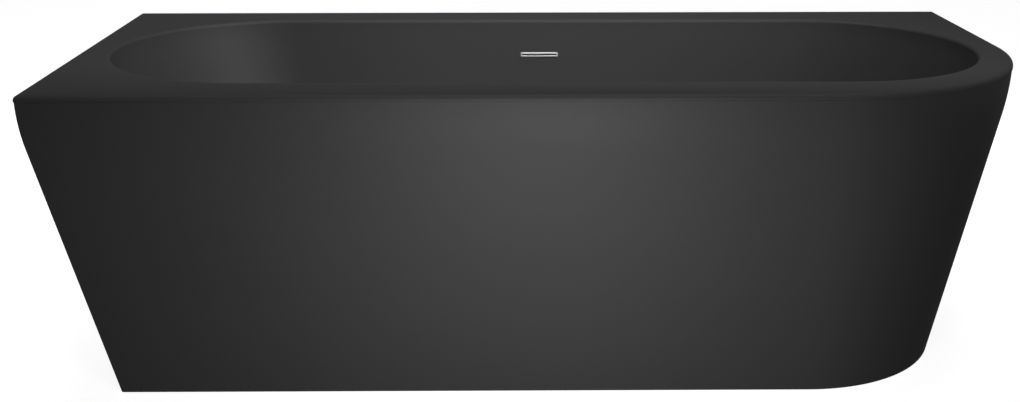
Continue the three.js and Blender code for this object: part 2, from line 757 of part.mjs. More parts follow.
const boxInside = block(
  [-boxHalf + overflowBoxWall, boxHalf - overflowBoxWall],
  [boxFront + overflowBoxWall, boxBack - overflowBoxWall],
  [boxBottom + overflowBoxWall, boxTop - overflowBoxWall],
);
const spoutBottom = boxBottom - spoutLength;
const spout = bar(barbRadius, spoutBottom, boxBottom + overcut, 20).translate([0, spoutY, 0]);
const spoutBore = bar(barbBore, spoutBottom - overcut, boxBottom + 2 * overflowBoxWall, 16);
const box = block([-boxHalf, boxHalf], [boxFront, boxBack], [boxBottom, boxTop])
  .add(spout)
  .subtract(boxInside)
  .subtract(gasketHole.intersect(block([-height, height], [0, spoutY], [-height, height])))
  .subtract(spoutBore.translate([0, spoutY, 0]));
add("overflow_box", onRearWall(box), blackPlastic);

// The hose's middle line: down from the spout, behind the basin, and in to the waste's port.
const lean = new THREE.Matrix4()
  .makeTranslation(0, slotY, slotZ)
  .multiply(new THREE.Matrix4().makeRotationX(-sideSlope));
const onWall = (y, z) => new THREE.Vector3(0, y, z).applyMatrix4(lean);
const hoseStart = onWall(spoutY, boxBottom - hoseBelowBox);
const hoseDown = onWall(spoutY, spoutBottom - hosePastSpout);
const hoseEnd = new THREE.Vector3(0, wasteY + portEnd, portZ);
const bendY = hoseDown.y - hoseSetIn;
const hoseCorner = hoseBend * (1 - Math.SQRT1_2);
const hoseLine = new THREE.CatmullRomCurve3([
  hoseStart,
  hoseStart.clone().lerp(hoseDown, 0.5),
  hoseDown,
  new THREE.Vector3(0, bendY, (hoseDown.z + portZ + hoseBend) / 2),
  new THREE.Vector3(0, bendY, portZ + hoseBend),
  new THREE.Vector3(0, bendY - hoseCorner, portZ + hoseCorner),
  new THREE.Vector3(0, bendY - hoseBend, portZ),
  new THREE.Vector3(0, (bendY - hoseBend + hoseEnd.y + barbLength) / 2, portZ),
  new THREE.Vector3(0, hoseEnd.y + barbLength, portZ),
  hoseEnd,
]);
const hoseSection = new THREE.Shape().absarc(0, 0, hoseRadius, 0, 2 * Math.PI);
hoseSection.holes.push(new THREE.Path().absarc(0, 0, hoseRadius - hoseWall, 0, 2 * Math.PI, true));
add("overflow_hose", solidOf(new THREE.ExtrudeGeometry(hoseSection, {
  steps: 22, curveSegments: 5, bevelEnabled: false, extrudePath: hoseLine,
})), blackPlastic);

// A worm-drive clamp around Z: band, screw housing and screw as one closed piece.
function hoseClamp() {
  const inner = hoseRadius + gap;
  const outer = inner + clampThickness;
  const band = ring(inner, outer, -clampWidth / 2, clampWidth / 2, 20);
  const housing = block(
    [-clampHousing / 2, clampHousing / 2],
    [outer - clampThickness / 3, outer + clampHousingHeight],
    [-clampWidth / 2, clampWidth / 2],
  );
  const screw = bar(clampScrewRadius, -clampScrewLength / 2, clampScrewLength / 2, 12)
    .rotate([0, 90, 0])
    .translate([0, outer + clampScrewRadius, 0]);
  return band.add(housing).add(screw);
}
const upperClamp = hoseClamp().translate([0, spoutY, (boxBottom + spoutBottom) / 2 - 2]);
add("hose_clamp_upper", onRearWall(upperClamp), zincedSteel);
const lowerClamp = hoseClamp().rotate([0, 0, 180]).rotate([90, 0, 0]);
add("hose_clamp_lower", lowerClamp.translate([0, hoseEnd.y + barbLength / 2, portZ]), zincedSteel);

add("basin_shell", basinShell(), acrylic);

export default bath;
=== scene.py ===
import math

import bmesh
import bpy
import numpy as np
from mathutils import Matrix, Vector


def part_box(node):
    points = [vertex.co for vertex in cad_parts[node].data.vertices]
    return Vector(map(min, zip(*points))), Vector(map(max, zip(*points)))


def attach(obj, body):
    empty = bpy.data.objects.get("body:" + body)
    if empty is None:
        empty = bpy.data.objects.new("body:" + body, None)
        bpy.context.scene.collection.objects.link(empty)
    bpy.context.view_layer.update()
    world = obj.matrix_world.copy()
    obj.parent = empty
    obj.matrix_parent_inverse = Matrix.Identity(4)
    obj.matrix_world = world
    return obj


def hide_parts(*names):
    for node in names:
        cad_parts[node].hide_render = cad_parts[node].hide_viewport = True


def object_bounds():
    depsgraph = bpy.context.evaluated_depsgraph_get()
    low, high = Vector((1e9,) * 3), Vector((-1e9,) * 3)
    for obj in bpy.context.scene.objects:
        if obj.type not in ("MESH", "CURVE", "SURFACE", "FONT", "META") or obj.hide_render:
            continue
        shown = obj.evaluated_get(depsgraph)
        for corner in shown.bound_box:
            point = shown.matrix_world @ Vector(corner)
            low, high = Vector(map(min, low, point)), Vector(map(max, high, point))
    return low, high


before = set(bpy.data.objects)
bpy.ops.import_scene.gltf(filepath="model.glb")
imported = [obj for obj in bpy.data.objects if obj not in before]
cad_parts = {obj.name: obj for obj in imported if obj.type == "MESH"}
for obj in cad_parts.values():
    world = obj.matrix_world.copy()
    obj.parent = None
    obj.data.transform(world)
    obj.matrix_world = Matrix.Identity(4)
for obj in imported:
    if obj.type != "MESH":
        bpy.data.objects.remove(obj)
cad_box = [list(corner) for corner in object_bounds()]

# ---------------------------------------------------------------- camera and studio
# A product studio: a long lens a little above the rim, a pale floor that sweeps up
# behind, a big soft lamp overhead, a small one low in front, which gives the front its glow, and a
# narrow beam from the right into the basin. One at the back stays below the rim.
lowest, highest = (Vector(corner) for corner in cad_box)
bath_length = highest.x - lowest.x
bath_width = highest.y - lowest.y
bath_height = highest.z

camera = bpy.data.objects.new("camera", bpy.data.cameras.new("camera"))
bpy.context.scene.collection.objects.link(camera)
bpy.context.scene.camera = camera
camera.data.sensor_width = 36.0
camera.data.lens = 44.56
camera.data.clip_end = 200.0
camera.location = (-0.0814, lowest.y - 2.0575, 1.0977)
camera_dip, camera_turn, camera_roll = 0.3211, 0.0061, -0.0012
camera.rotation_euler = (
    Matrix.Rotation(-camera_turn, 3, "Z")
    @ Matrix.Rotation(math.pi / 2 - camera_dip, 3, "X")
    @ Matrix.Rotation(camera_roll, 3, "Z")
).to_euler()
bpy.context.scene.view_settings.view_transform = "Standard"


def lamp(name, place, aim, size, power, spread=180.0):
    """A soft box at place that shines towards aim, in a beam spread degrees wide. It isn't seen
    itself."""
    light = bpy.data.lights.new(name, "AREA")
    light.shape = "RECTANGLE"
    light.size, light.size_y = size
    light.energy = power
    light.spread = math.radians(spread)
    box = bpy.data.objects.new(name, light)
    bpy.context.scene.collection.objects.link(box)
    box.location = place
    box.rotation_euler = (Vector(aim) - Vector(place)).to_track_quat("-Z", "Y").to_euler()
    box.visible_camera = False
    return box


lamp("overhead", (0.1, 0.0, 3.6), (0.1, 0.0, 0.5), (2.4, 1.0), 42.0)
lamp("front", (0.0, lowest.y - 0.80, 0.24), (0.0, lowest.y, 0.26), (0.3, 0.3), 8.2)
lamp("into_basin", (1.2, -1.7, 2.2), (-0.24, 0.22, 0.42), (0.15, 0.15), 7.0, spread=52.0)
lamp("behind", (0.0, highest.y + 2.0, 0.3), (0.0, highest.y, 0.3), (2.4, 0.5), 34.0)

world = bpy.data.worlds.new("studio")
bpy.context.scene.world = world
world.use_nodes = True
world.node_tree.nodes["Background"].inputs["Color"].default_value = (1.0, 1.0, 1.0, 1.0)
world.node_tree.nodes["Background"].inputs["Strength"].default_value = 0.12


class Value:
    """A shader socket that takes part in sums: each operator adds its Math node."""

    def __init__(self, material, socket):
        self.material, self.socket = material, socket

    def sum(self, operation, other):
        """Adds a Math node for one operation on this value and another."""
        return self.material.node("Math", {"operation": operation}, {0: self, 1: other})

    def __add__(self, other):
        return self.sum("ADD", other)

    def __mul__(self, other):
        return self.sum("MULTIPLY", other)

    def __pow__(self, other):
        return self.sum("POWER", other)

    def largest(self, other):
        """The larger of this value and another."""
        return self.sum("MAXIMUM", other)

    __radd__, __rmul__ = __add__, __mul__


class Finish:
    """One material. node() adds any node: its settings first, then its inputs' values or links."""

    def __init__(self, name, colour, roughness, metallic=0.0, **shader_values):
        self.material = bpy.data.materials.new(name)
        self.material.use_nodes = True
        self.tree = self.material.node_tree
        self.shader = self.tree.nodes["Principled BSDF"]
        self.shader.inputs["Base Color"].default_value = (*colour, 1.0)
        self.shader.inputs["Roughness"].default_value = roughness
        self.shader.inputs["Metallic"].default_value = metallic
        for socket, value in shader_values.items():
            self.shader.inputs[socket.replace("_", " ")].default_value = value

    def put(self, node, values):
        """Sets or links a node's inputs. A colour of three numbers gets its alpha."""
        for socket, value in values.items():
            slot = node.inputs[socket]
            if isinstance(value, Value):
                self.tree.links.new(value.socket, slot)
            elif isinstance(value, tuple) and len(value) == 3 and slot.type == "RGBA":
                slot.default_value = (*value, 1.0)
            else:
                slot.default_value = value

    def node(self, kind, settings, values, output=0):
        """Adds a shader node and gives one of its outputs back."""
        node = self.tree.nodes.new("ShaderNode" + kind)
        for name, value in settings.items():
            setattr(node, name, value)
        self.put(node, values)
        return Value(self, node.outputs[output])

    def drive(self, **links):
        """Puts values or links on the shader's own inputs."""
        self.put(self.shader, {socket.replace("_", " "): link for socket, link in links.items()})
        return self

    def place(self, scale=(1.0, 1.0, 1.0)):
        """Object coordinates in metres, stretched by scale."""
        spot = self.node("TexCoord", {}, {}, "Object")
        return self.node("Mapping", {}, {"Vector": spot, "Scale": scale})

    def noise(self, scale, detail=2.0, roughness=0.5, stretch=(1.0, 1.0, 1.0)):
        """Cloudy noise from 0 to 1, scale lumps to the metre."""
        return self.node("TexNoise", {}, {
            "Vector": self.place(stretch), "Scale": scale, "Detail": detail,
            "Roughness": roughness,
        })

    def blend(self, share, first, second):
        """A colour between two colours or colour links."""
        values = {"Factor": share, 6: first, 7: second}
        return self.node("Mix", {"data_type": "RGBA"}, values, 2)

    def bump(self, height, depth, onto=None):
        """Turns height, 0 to 1, into a surface normal, depth metres high."""
        values = {"Height": height, "Distance": depth}
        if onto is not None:
            values["Normal"] = onto
        return self.node("Bump", {}, values)


def studio_floor():
    """A round floor that curves up into a wall, as rings of (radius, height) turned about Z."""
    flat, sweep, wall = 14.0, 3.0, 9.0
    turn = np.linspace(0.0, math.pi / 2, 10)
    radii = np.concatenate([[0.001, 2.0, 6.0], flat + sweep * np.sin(turn), [flat + sweep]])
    heights = np.concatenate([[0.0, 0.0, 0.0], sweep * (1 - np.cos(turn)), [wall]])
    around = np.linspace(0.0, 2 * math.pi, 65)[:-1]
    points = np.stack([
        np.outer(radii, np.cos(around)), np.outer(radii, np.sin(around)),
        np.repeat(heights[:, None], len(around), 1),
    ], -1)
    return points[:, ::-1]


def grid_faces(rows, columns, closed_rows=False, closed_columns=True):
    """Quads of a grid of points, each running row to row and column to column."""
    i, j = np.meshgrid(
        np.arange(rows - (not closed_rows)), np.arange(columns - (not closed_columns)),
        indexing="ij",
    )
    below, right = (i + 1) % rows, (j + 1) % columns
    return np.stack(
        [i * columns + j, i * columns + right, below * columns + right, below * columns + j], -1
    ).reshape(-1, 4)


def piece_from(name, points, faces, finish, crease=35.0):
    """A mesh object from corner points and quads, smooth but for edges sharper than crease."""
    mesh = bpy.data.meshes.new(name)
    mesh.from_pydata(np.asarray(points).reshape(-1, 3).tolist(), [], np.asarray(faces).tolist())
    mesh.validate()
    mesh.update()
    mesh.shade_smooth()
    mesh.set_sharp_from_angle(angle=math.radians(crease))
    piece = bpy.data.objects.new(name, mesh)
    bpy.context.scene.collection.objects.link(piece)
    mesh.materials.append(finish.material)
    return piece


floor_finish = Finish("studio_floor", (0.5, 0.5, 0.5), 0.9, Specular_IOR_Level=0.0,
                      Emission_Color=(1.0, 1.0, 1.0, 1.0), Emission_Strength=0.9)
floor_points = studio_floor()
floor_faces = grid_faces(*floor_points.shape[:2])
studio = piece_from("studio_floor", floor_points, floor_faces, floor_finish)
studio.visible_diffuse = studio.visible_glossy = False

# A flag keeps the beam into the basin off the skirt and the front of the rim.
flag = np.array([[(x, -1.05, z) for x in (-0.6, 1.6)] for z in (0.8, 1.46)])
beam_flag = piece_from("beam_flag", flag, grid_faces(2, 2, closed_columns=False), floor_finish)
beam_flag.visible_camera = beam_flag.visible_diffuse = beam_flag.visible_glossy = False

# ---------------------------------------------------------------- basin: acrylic sheet
# One sheet of matt anthracite acrylic, drawn by vacuum into the mould: the lip, the flat rim and
# the long oval basin with its waste recess. The sheet is 4 mm thick and soft-edged throughout.
mm = 0.001
rim_thickness = 11 * mm
rim_edge_radius = 8 * mm
round_corner, round_corner_at_foot = 398 * mm, 306 * mm
square_corner, square_corner_at_foot = 3 * mm, 6 * mm
foot_inset = 97 * mm
rim_at_sides, rim_at_ends = 100 * mm, 60 * mm
basin_edge_radius = 8 * mm
basin_floor, basin_fall, floor_thickness = 150 * mm, 5 * mm, 7 * mm
side_slope, end_slope = math.radians(8), math.radians(22)
side_fillet, end_fillet = 95 * mm, 130 * mm
sheet_thickness = 4 * mm
laminate_thickness = 6 * mm
waste_y = 70 * mm
recess_radius, recess_depth = 38 * mm, 3 * mm
waste_hole_radius = 24 * mm

left, right = lowest.x, highest.x
front, back = lowest.y, highest.y
rim_top = bath_height
wall_top = rim_top - basin_edge_radius
oval_half_length = bath_length / 2 - rim_at_ends
oval_half_width = bath_width / 2 - rim_at_sides
spine = oval_half_length - oval_half_width


def rim_reach(x, turn, inset=0.0):
    """Distance from the oval's middle line, at x and in direction turn, out to the rim's outline.

    The outline is a box whose front corners are rounded. Its signed distance is
    length(max(q, 0)) - r with q the offset past the corner's centre, solved by halving.
    """
    heading = np.stack([np.cos(turn), np.sin(turn)], -1)
    low, high = np.zeros_like(turn), np.full_like(turn, bath_length)
    for _ in range(40):
        reach = (low + high) / 2
        x_at, y_at = x + heading[:, 0] * reach, heading[:, 1] * reach
        corner = np.where(x_at > 0, round_corner, square_corner) * (y_at < 0)
        q_x = np.abs(x_at) - bath_length / 2 + corner
        q_y = np.abs(y_at) - bath_width / 2 + corner
        outside = np.hypot(np.maximum(q_x, 0), np.maximum(q_y, 0))
        distance = outside + np.minimum(np.maximum(q_x, q_y), 0) - corner + inset
        low, high = np.where(distance < 0, reach, low), np.where(distance < 0, high, reach)
    return (low + high) / 2


def rim_columns():
    """Where each column of the basin's grid starts on the oval's middle line, and its heading.

    Even steps round both ends, with finer steps where the rim's corners lie.
    """
    half_turn = math.pi / 2
    even = np.linspace(0, math.pi, 73)
    front_corner = math.atan2(-front, -left - spine)
    back_corner = math.atan2(back, -left - spine)
    fine = np.radians(np.linspace(-1.6, 1.6, 17))
    at_left = np.unique(np.concatenate([
        even + half_turn, math.pi - back_corner + fine[::8] * 0.02,
        math.pi + front_corner + fine,
    ]))
    at_right = np.unique(np.concatenate([even - half_turn, back_corner + fine[::8] * 0.02]))
    along = np.linspace(-1.0, 1.0, 25)[1:-1]
    x = np.concatenate([
        np.full(len(at_left), -1.0), along, np.full(len(at_right), 1.0), -along,
    ])
    turn = np.concatenate([
        at_left, np.full(len(along), -half_turn), at_right, np.full(len(along), half_turn),
    ])
    return x, turn


column_x, column_turn = rim_columns()


def wall_inset(z, slope, fillet, thick=0.0):
    """How far the basin's wall has come in at height z: a straight slope, then a fillet that
    ends flat on the floor. thick moves the whole line out, towards the underside."""
    radius, floor = fillet + thick, basin_floor - thick
    shift = thick / math.cos(slope)
    tangent = floor + radius * (1 - math.sin(slope))
    centre = (wall_top - tangent) * math.tan(slope) - shift + radius * math.cos(slope)
    rise = np.clip((floor + radius - z) / radius, -1, 1)
    on_fillet = centre - radius * np.sqrt(1 - rise * rise)
    return np.where(z >= tangent, (wall_top - z) * math.tan(slope) - shift, on_fillet)


def oval_ring(z, half_length, half_width):
    """A ring of the grid: points at half_width round a middle line that ends half_length out."""
    z = np.atleast_1d(np.asarray(z, float))[:, None]
    half_length = np.atleast_1d(np.asarray(half_length, float))[:, None]
    half_width = np.atleast_1d(np.asarray(half_width, float))[:, None]
    x = column_x * (half_length - half_width) + np.cos(column_turn) * half_width
    y = np.sin(column_turn) * half_width + 0 * x
    return np.stack([x, y, z + 0 * x], -1)


def basin_rings(heights, thick=0.0):
    """Rings of the basin's wall: the oval's half length and half width, each less the wall's
    inset at that height. thick moves them out to the wall's back."""
    return oval_ring(
        heights,
        oval_half_length - wall_inset(heights, end_slope, end_fillet, thick),
        oval_half_width - wall_inset(heights, side_slope, side_fillet, thick),
    )


def rim_rings(insets, heights):
    """Rings on the rim's outline, each moved in by its inset."""
    x_start = column_x * spine
    rings = []
    for inset, z in zip(insets, heights):
        reach = rim_reach(x_start, column_turn, inset)
        rings.append(np.stack([
            x_start + np.cos(column_turn) * reach, np.sin(column_turn) * reach,
            np.full_like(reach, z),
        ], -1))
    return np.array(rings)


def fillet_heights(thick, steps=16):
    """Heights down the fillet at even turns, from where the slope ends to the floor."""
    turn = np.linspace(side_slope, math.pi / 2, steps + 1)
    return basin_floor - thick + (side_fillet + thick) * (1 - np.sin(turn))


def between(first, last, shares):
    """Rings that run straight from one ring to another, at the given shares of the way."""
    return first + np.asarray(shares)[:, None, None] * (last - first)


def waste_ring(radius, z):
    """A round ring about the waste, each point in line with the floor ring's own point."""
    edge = basin_rings(np.array([basin_floor]))[0]
    spoke = edge[:, :2] - np.array([0.0, waste_y])
    spoke /= np.linalg.norm(spoke, axis=1, keepdims=True)
    return np.column_stack([radius * spoke + np.array([0.0, waste_y]), np.full(len(edge), z)])


def floor_height(ring, lift=0.0):
    """The floor falls in a straight line from its edge to the waste's axis."""
    edge = basin_rings(np.array([basin_floor]))[0]
    middle = np.array([0.0, waste_y])
    share = np.linalg.norm(ring[:, :2] - middle, axis=1)
    share = share / np.linalg.norm(edge[:, :2] - middle, axis=1)
    ring = ring.copy()
    ring[:, 2] = basin_floor - basin_fall * (1 - share) + lift
    return ring


def arc_steps(start, end, steps):
    """Even angles from start to end, given in degrees."""
    return np.radians(np.linspace(start, end, steps + 1))


def sheet_side(depth):
    """The grid's rows from the foot of the lip to the waste, for the sheet's face (depth 0) or
    its back, which lies depth behind the face."""
    edge_radius = rim_edge_radius - depth
    turn = arc_steps(0, 90, 8)
    lip = rim_rings(
        np.concatenate([[depth], depth + edge_radius * (1 - np.cos(turn))]),
        np.concatenate([
            [rim_top - rim_thickness + 0.2 * mm],
            rim_top - rim_edge_radius + edge_radius * np.sin(turn),
        ]),
    )
    turn = arc_steps(90, 0, 8)
    roll = basin_edge_radius - depth
    edge = oval_ring(
        wall_top + roll * np.sin(turn),
        oval_half_length + basin_edge_radius - roll * np.cos(turn),
        oval_half_width + basin_edge_radius - roll * np.cos(turn),
    )
    deck = between(lip[-1], edge[0], np.linspace(0, 1, 8)[1:-1])
    slope_foot = fillet_heights(depth)[0]
    slope = basin_rings(np.linspace(wall_top, slope_foot, 14)[1:-1], depth)
    fillet = basin_rings(fillet_heights(depth), depth)
    recess_edge = floor_height(waste_ring(recess_radius + 2.5 * mm, 0.0), -depth)
    level = floor_height(fillet[-1], -depth)
    floor = [floor_height(ring, -depth)
             for ring in between(level, recess_edge, np.linspace(0, 1, 16)[1:])]
    return np.concatenate([lip, deck, edge, slope, fillet[:-1], [level], floor])


def basin_sheet_points():
    """The sheet's face, its waste recess and hole, and its back, as one closed run of rows."""
    face = sheet_side(0.0)
    behind = sheet_side(sheet_thickness)
    bottom = basin_floor - basin_fall - recess_depth
    underside = basin_floor - basin_fall - floor_thickness + 0.1 * mm
    recess = np.array([
        waste_ring(recess_radius + 0.9 * mm, basin_floor - basin_fall + 0.1 * mm),
        waste_ring(recess_radius, basin_floor - basin_fall - 0.7 * mm),
        waste_ring(recess_radius - 0.2 * mm, bottom + 0.8 * mm),
        waste_ring(recess_radius - 0.9 * mm, bottom),
        waste_ring(waste_hole_radius + 0.6 * mm, bottom),
        waste_ring(waste_hole_radius, bottom - 0.6 * mm),
        waste_ring(waste_hole_radius, underside),
        waste_ring(recess_radius + 2.0 * mm, underside),
    ])
    return np.concatenate([face, recess, behind[::-1]])


acrylic = Finish("matt_acrylic", (0.034, 0.034, 0.034), 0.55, Specular_IOR_Level=0.2)
fine_grain = acrylic.noise(900.0, 2.0)
drawn_waves = acrylic.noise(5.0, 2.0)
wiped = acrylic.noise(3.0, 4.0, 0.6, (1.0, 2.5, 2.5))
acrylic.drive(
    Base_Color=acrylic.blend(wiped, (0.0338, 0.0338, 0.0338), (0.0376, 0.0375, 0.0372)),
    Roughness=0.50 + wiped * 0.10 + fine_grain * 0.04,
    Normal=acrylic.bump(fine_grain, 0.00002, acrylic.bump(drawn_waves, 0.0006)),
)


def joined(shells):
    """Several (points, faces) shells as one pair."""
    points, faces, start = [], [], 0
    for shell_points, shell_faces in shells:
        shell_points = np.asarray(shell_points).reshape(-1, 3)
        points.append(shell_points)
        faces += [[corner + start for corner in face] for face in shell_faces]
        start += len(shell_points)
    return np.concatenate(points), faces


def sheet_shell(points, closed_columns=True):
    """A closed sheet from a grid whose rows run round its section. Where its columns are open,
    both ends get a strip of quads between the sheet's two sides."""
    rows, columns = points.shape[:2]
    faces = grid_faces(rows, columns, True, closed_columns).tolist()
    if not closed_columns:
        for row in range(rows // 2 - 1):
            across = [row, row + 1, rows - 2 - row, rows - 1 - row]
            faces.append([corner * columns for corner in across])
            faces.append([corner * columns + columns - 1 for corner in reversed(across)])
    return points, faces


def make(name, shells, finish, body="tub", replaced=(), crease=35.0, bevel=0.0):
    """One piece of the bath: its mesh, poles closed and faces outwards, its finish and body."""
    points, faces = joined(shells)
    piece = bpy.data.objects.new(name, bpy.data.meshes.new(name))
    piece.data.from_pydata(points.tolist(), [], faces)
    skin = bmesh.new()
    skin.from_mesh(piece.data)
    bmesh.ops.remove_doubles(skin, verts=skin.verts, dist=0.001 * mm)
    bmesh.ops.recalc_face_normals(skin, faces=skin.faces)
    skin.to_mesh(piece.data)
    skin.free()
    piece.data.shade_smooth()
    piece.data.set_sharp_from_angle(angle=math.radians(crease))
    piece.data.materials.append(finish.material)
    bpy.context.scene.collection.objects.link(piece)
    if bevel:
        edge = piece.modifiers.new("edges", "BEVEL")
        edge.width, edge.segments, edge.limit_method = bevel, 2, "ANGLE"
        edge.angle_limit = math.radians(40)
        edge.harden_normals = True
    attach(piece, body)
    if replaced:
        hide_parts(*replaced)
    return piece


def cut_out(piece, shells):
    """Cuts closed shells out of a piece, and keeps the result as its mesh."""
    points, faces = joined(shells)
    cutter_mesh = bpy.data.meshes.new("cutter")
    cutter_mesh.from_pydata(points.tolist(), [], faces)
    cutter = bpy.data.objects.new("cutter", cutter_mesh)
    bpy.context.scene.collection.objects.link(cutter)
    cut = piece.modifiers.new("cut", "BOOLEAN")
    cut.operation, cut.object, cut.solver = "DIFFERENCE", cutter, "EXACT"
    seen = piece.evaluated_get(bpy.context.evaluated_depsgraph_get())
    done = bpy.data.meshes.new_from_object(seen)
    piece.modifiers.clear()
    piece.data = done
    bpy.data.objects.remove(cutter)


points = basin_sheet_points()
basin_sheet = make("basin_sheet", [sheet_shell(points)], acrylic,
                   replaced=["basin_shell"], crease=50.0)

# ---------------------------------------------------------------- basin: glass fibre backing
# Chopped glass strands in resin, sprayed on the back of the sheet: rough, pale and a little green,
# thick under the rim and rounded where the wall meets it.
back_layer = 0.25 * mm


def laminate_points():
    """Rows from the waste hole's lip up the sheet's back, and down the backing's own face."""
    inner = sheet_side(sheet_thickness + back_layer)[9:]
    shelf = rim_top - rim_thickness
    reach = 14 * mm
    turn = arc_steps(90, 0, 6)
    corner = oval_ring(
        shelf - reach * (1 - np.sin(turn)),
        oval_half_length - wall_inset(shelf, end_slope, end_fillet, laminate_thickness)
        + reach * (1 - np.cos(turn)),
        oval_half_width - wall_inset(shelf, side_slope, side_fillet, laminate_thickness)
        + reach * (1 - np.cos(turn)),
    )
    edge = rim_rings([6 * mm, 6 * mm], [shelf + 2 * mm, shelf + 0.3 * mm])
    deck = between(edge[1], corner[0], np.linspace(0, 1, 6)[1:-1])
    slope_foot = fillet_heights(laminate_thickness)[0]
    underside = basin_floor - basin_fall - floor_thickness
    fillet = fillet_heights(laminate_thickness)
    fillet = fillet[fillet > underside + 0.5 * mm]
    slope = np.linspace(shelf - reach, slope_foot, 14)[1:-1]
    wall = basin_rings(np.concatenate([slope, fillet]), laminate_thickness)
    foot = wall[-1].copy()
    foot[:, 2] = underside
    flat = between(foot, waste_ring(waste_hole_radius + 1.5 * mm, underside),
                   np.linspace(0, 1, 8)[1:])
    inner_low = waste_ring(recess_radius + 4 * mm, underside + 1.2 * mm)
    return np.concatenate([edge, deck, corner, wall, [foot], flat, [inner_low], inner[::-1]])


laminate = Finish("glass_fibre", (0.42, 0.44, 0.36), 0.55)
along_strands = laminate.noise(70.0, 5.0, 0.7, (1.0, 5.0, 4.0))
cross_strands = laminate.noise(70.0, 5.0, 0.7, (5.0, 1.0, 1.2))
strands = along_strands.largest(cross_strands) ** 3.0 * 3.0
lumps = laminate.noise(9.0, 4.0, 0.6)
laminate.drive(
    Base_Color=laminate.blend(
        strands, (0.22, 0.23, 0.16), laminate.blend(lumps, (0.52, 0.53, 0.42), (0.36, 0.37, 0.28))
    ),
    Roughness=0.35 + strands * 0.3,
    Normal=laminate.bump(strands, 0.0012, laminate.bump(lumps, 0.004)),
)
basin_backing = make("basin_backing", [sheet_shell(laminate_points())], laminate,
                     replaced=["basin_shell"], crease=60.0)

# ---------------------------------------------------------------- skirt
# One bent panel that leans in towards the floor: upright under the rim, a long soft bend, then
# straight. It turns in at the top, under the rim, and at both ends, along the wall.
skirt_wall = 5 * mm
skirt_set_back = 1 * mm
skirt_bend, skirt_bend_reach = 55 * mm, 43 * mm
skirt_floor_gap = 3 * mm
skirt_flange = 30 * mm
skirt_top = rim_top - rim_thickness - 0.3 * mm


def skirt_inset(z):
    """How far in the skirt's face is: a parabola joins the upright part to the straight lean."""
    middle = rim_top - skirt_bend
    slope = (foot_inset - skirt_set_back) / middle
    below = middle - z
    along = np.clip(below + skirt_bend_reach, 0, 2 * skirt_bend_reach)
    bend = slope * along * along / (4 * skirt_bend_reach)
    return skirt_set_back + bend + slope * np.maximum(below - skirt_bend_reach, 0)


def skirt_ring(z, inset, tip, behind):
    """A level line along the panel: flange, left end, front, large round corner, right end,
    flange. The flanges run at behind from the wall and end tip in from the bath's ends."""
    share = min(inset / foot_inset, 1.0)
    square = square_corner + (square_corner_at_foot - square_corner) * share
    round_ = round_corner + (round_corner_at_foot - round_corner) * share
    wall_y = back - behind
    turn_left, turn_right = arc_steps(180, 270, 8), arc_steps(-90, 0, 60)
    flange = np.linspace(tip, inset, 7)[:-1]
    x = np.concatenate([
        left + flange,
        np.full(7, left + inset), left + inset + square * (1 + np.cos(turn_left)),
        np.linspace(left + inset + square, right - inset - round_, 30)[1:-1],
        right - inset - round_ * (1 - np.cos(turn_right)),
        np.full(7, right - inset), right - flange[::-1],
    ])
    y = np.concatenate([
        np.full(6, wall_y), np.linspace(wall_y, front + inset + square, 8)[:-1],
        front + inset + square * (1 + np.sin(turn_left)), np.full(28, front + inset),
        front + inset + round_ * (1 + np.sin(turn_right)),
        np.linspace(front + inset + round_, wall_y, 8)[1:], np.full(6, wall_y),
    ])
    return np.column_stack([x, y, np.full_like(x, z)])


def skirt_layer(near, far, margin):
    """The part of the panel from near to far behind its face, margin short of its free edges."""
    bend_top = rim_top - skirt_bend + skirt_bend_reach
    bend_foot = bend_top - 2 * skirt_bend_reach
    heights = np.concatenate([
        np.linspace(skirt_floor_gap + margin, bend_foot, 10),
        np.linspace(bend_foot, min(bend_top, skirt_top - far), 16)[1:],
    ])
    insets = skirt_inset(heights)
    tip_at_top = skirt_set_back + skirt_flange - margin
    flange = np.linspace(0, 1, 5)

    def side(depth):
        """Rings up the wall and in along the top, on the surface that lies depth inside."""
        wall = [skirt_ring(z, inset + depth, inset + skirt_flange - margin, depth)
                for z, inset in zip(heights, insets)]
        top = [skirt_ring(skirt_top - depth, reach, tip_at_top, depth)
               for reach in skirt_set_back + depth + flange * (tip_at_top - skirt_set_back - depth)]
        return np.array(wall + top)

    return sheet_shell(np.concatenate([side(near), side(far)[::-1]]), closed_columns=False)


make("skirt_sheet", [skirt_layer(0.0, 3 * mm, 0.0)], acrylic,
     replaced=["outer_skirt"], bevel=0.8 * mm)
make("skirt_backing", [skirt_layer(3.1 * mm, skirt_wall, 6 * mm)], laminate,
     replaced=["outer_skirt"], crease=50.0)

# ---------------------------------------------------------------- batten and base board
# A planed softwood batten fixes the rim to the wall. A chipboard panel, glassed to the basin's
# underside, spreads the load on the frame. Below here shapes are drawn in millimetres.


def turned(section, at=(0, 0, 0), steps=40, axis="Z", shape=None):
    """A closed section of (radius, height) points in mm turned about the axis Z or Y through at.
    shape(radius, height, turn) may give each point another radius."""
    section = np.asarray(section, float)
    turn = np.linspace(0, 2 * math.pi, steps + 1)[None, :-1]
    radius, height = (np.repeat(section[:, k:k + 1], steps, 1) for k in (0, 1))
    if shape is not None:
        radius = shape(radius, height, turn + 0 * radius)
    x, y = radius * np.cos(turn), radius * np.sin(turn)
    points = np.stack([x, y, height] if axis == "Z" else [x, height, y], -1) + np.array(at)
    return points * mm, grid_faces(*points.shape[:2], closed_rows=True).tolist()


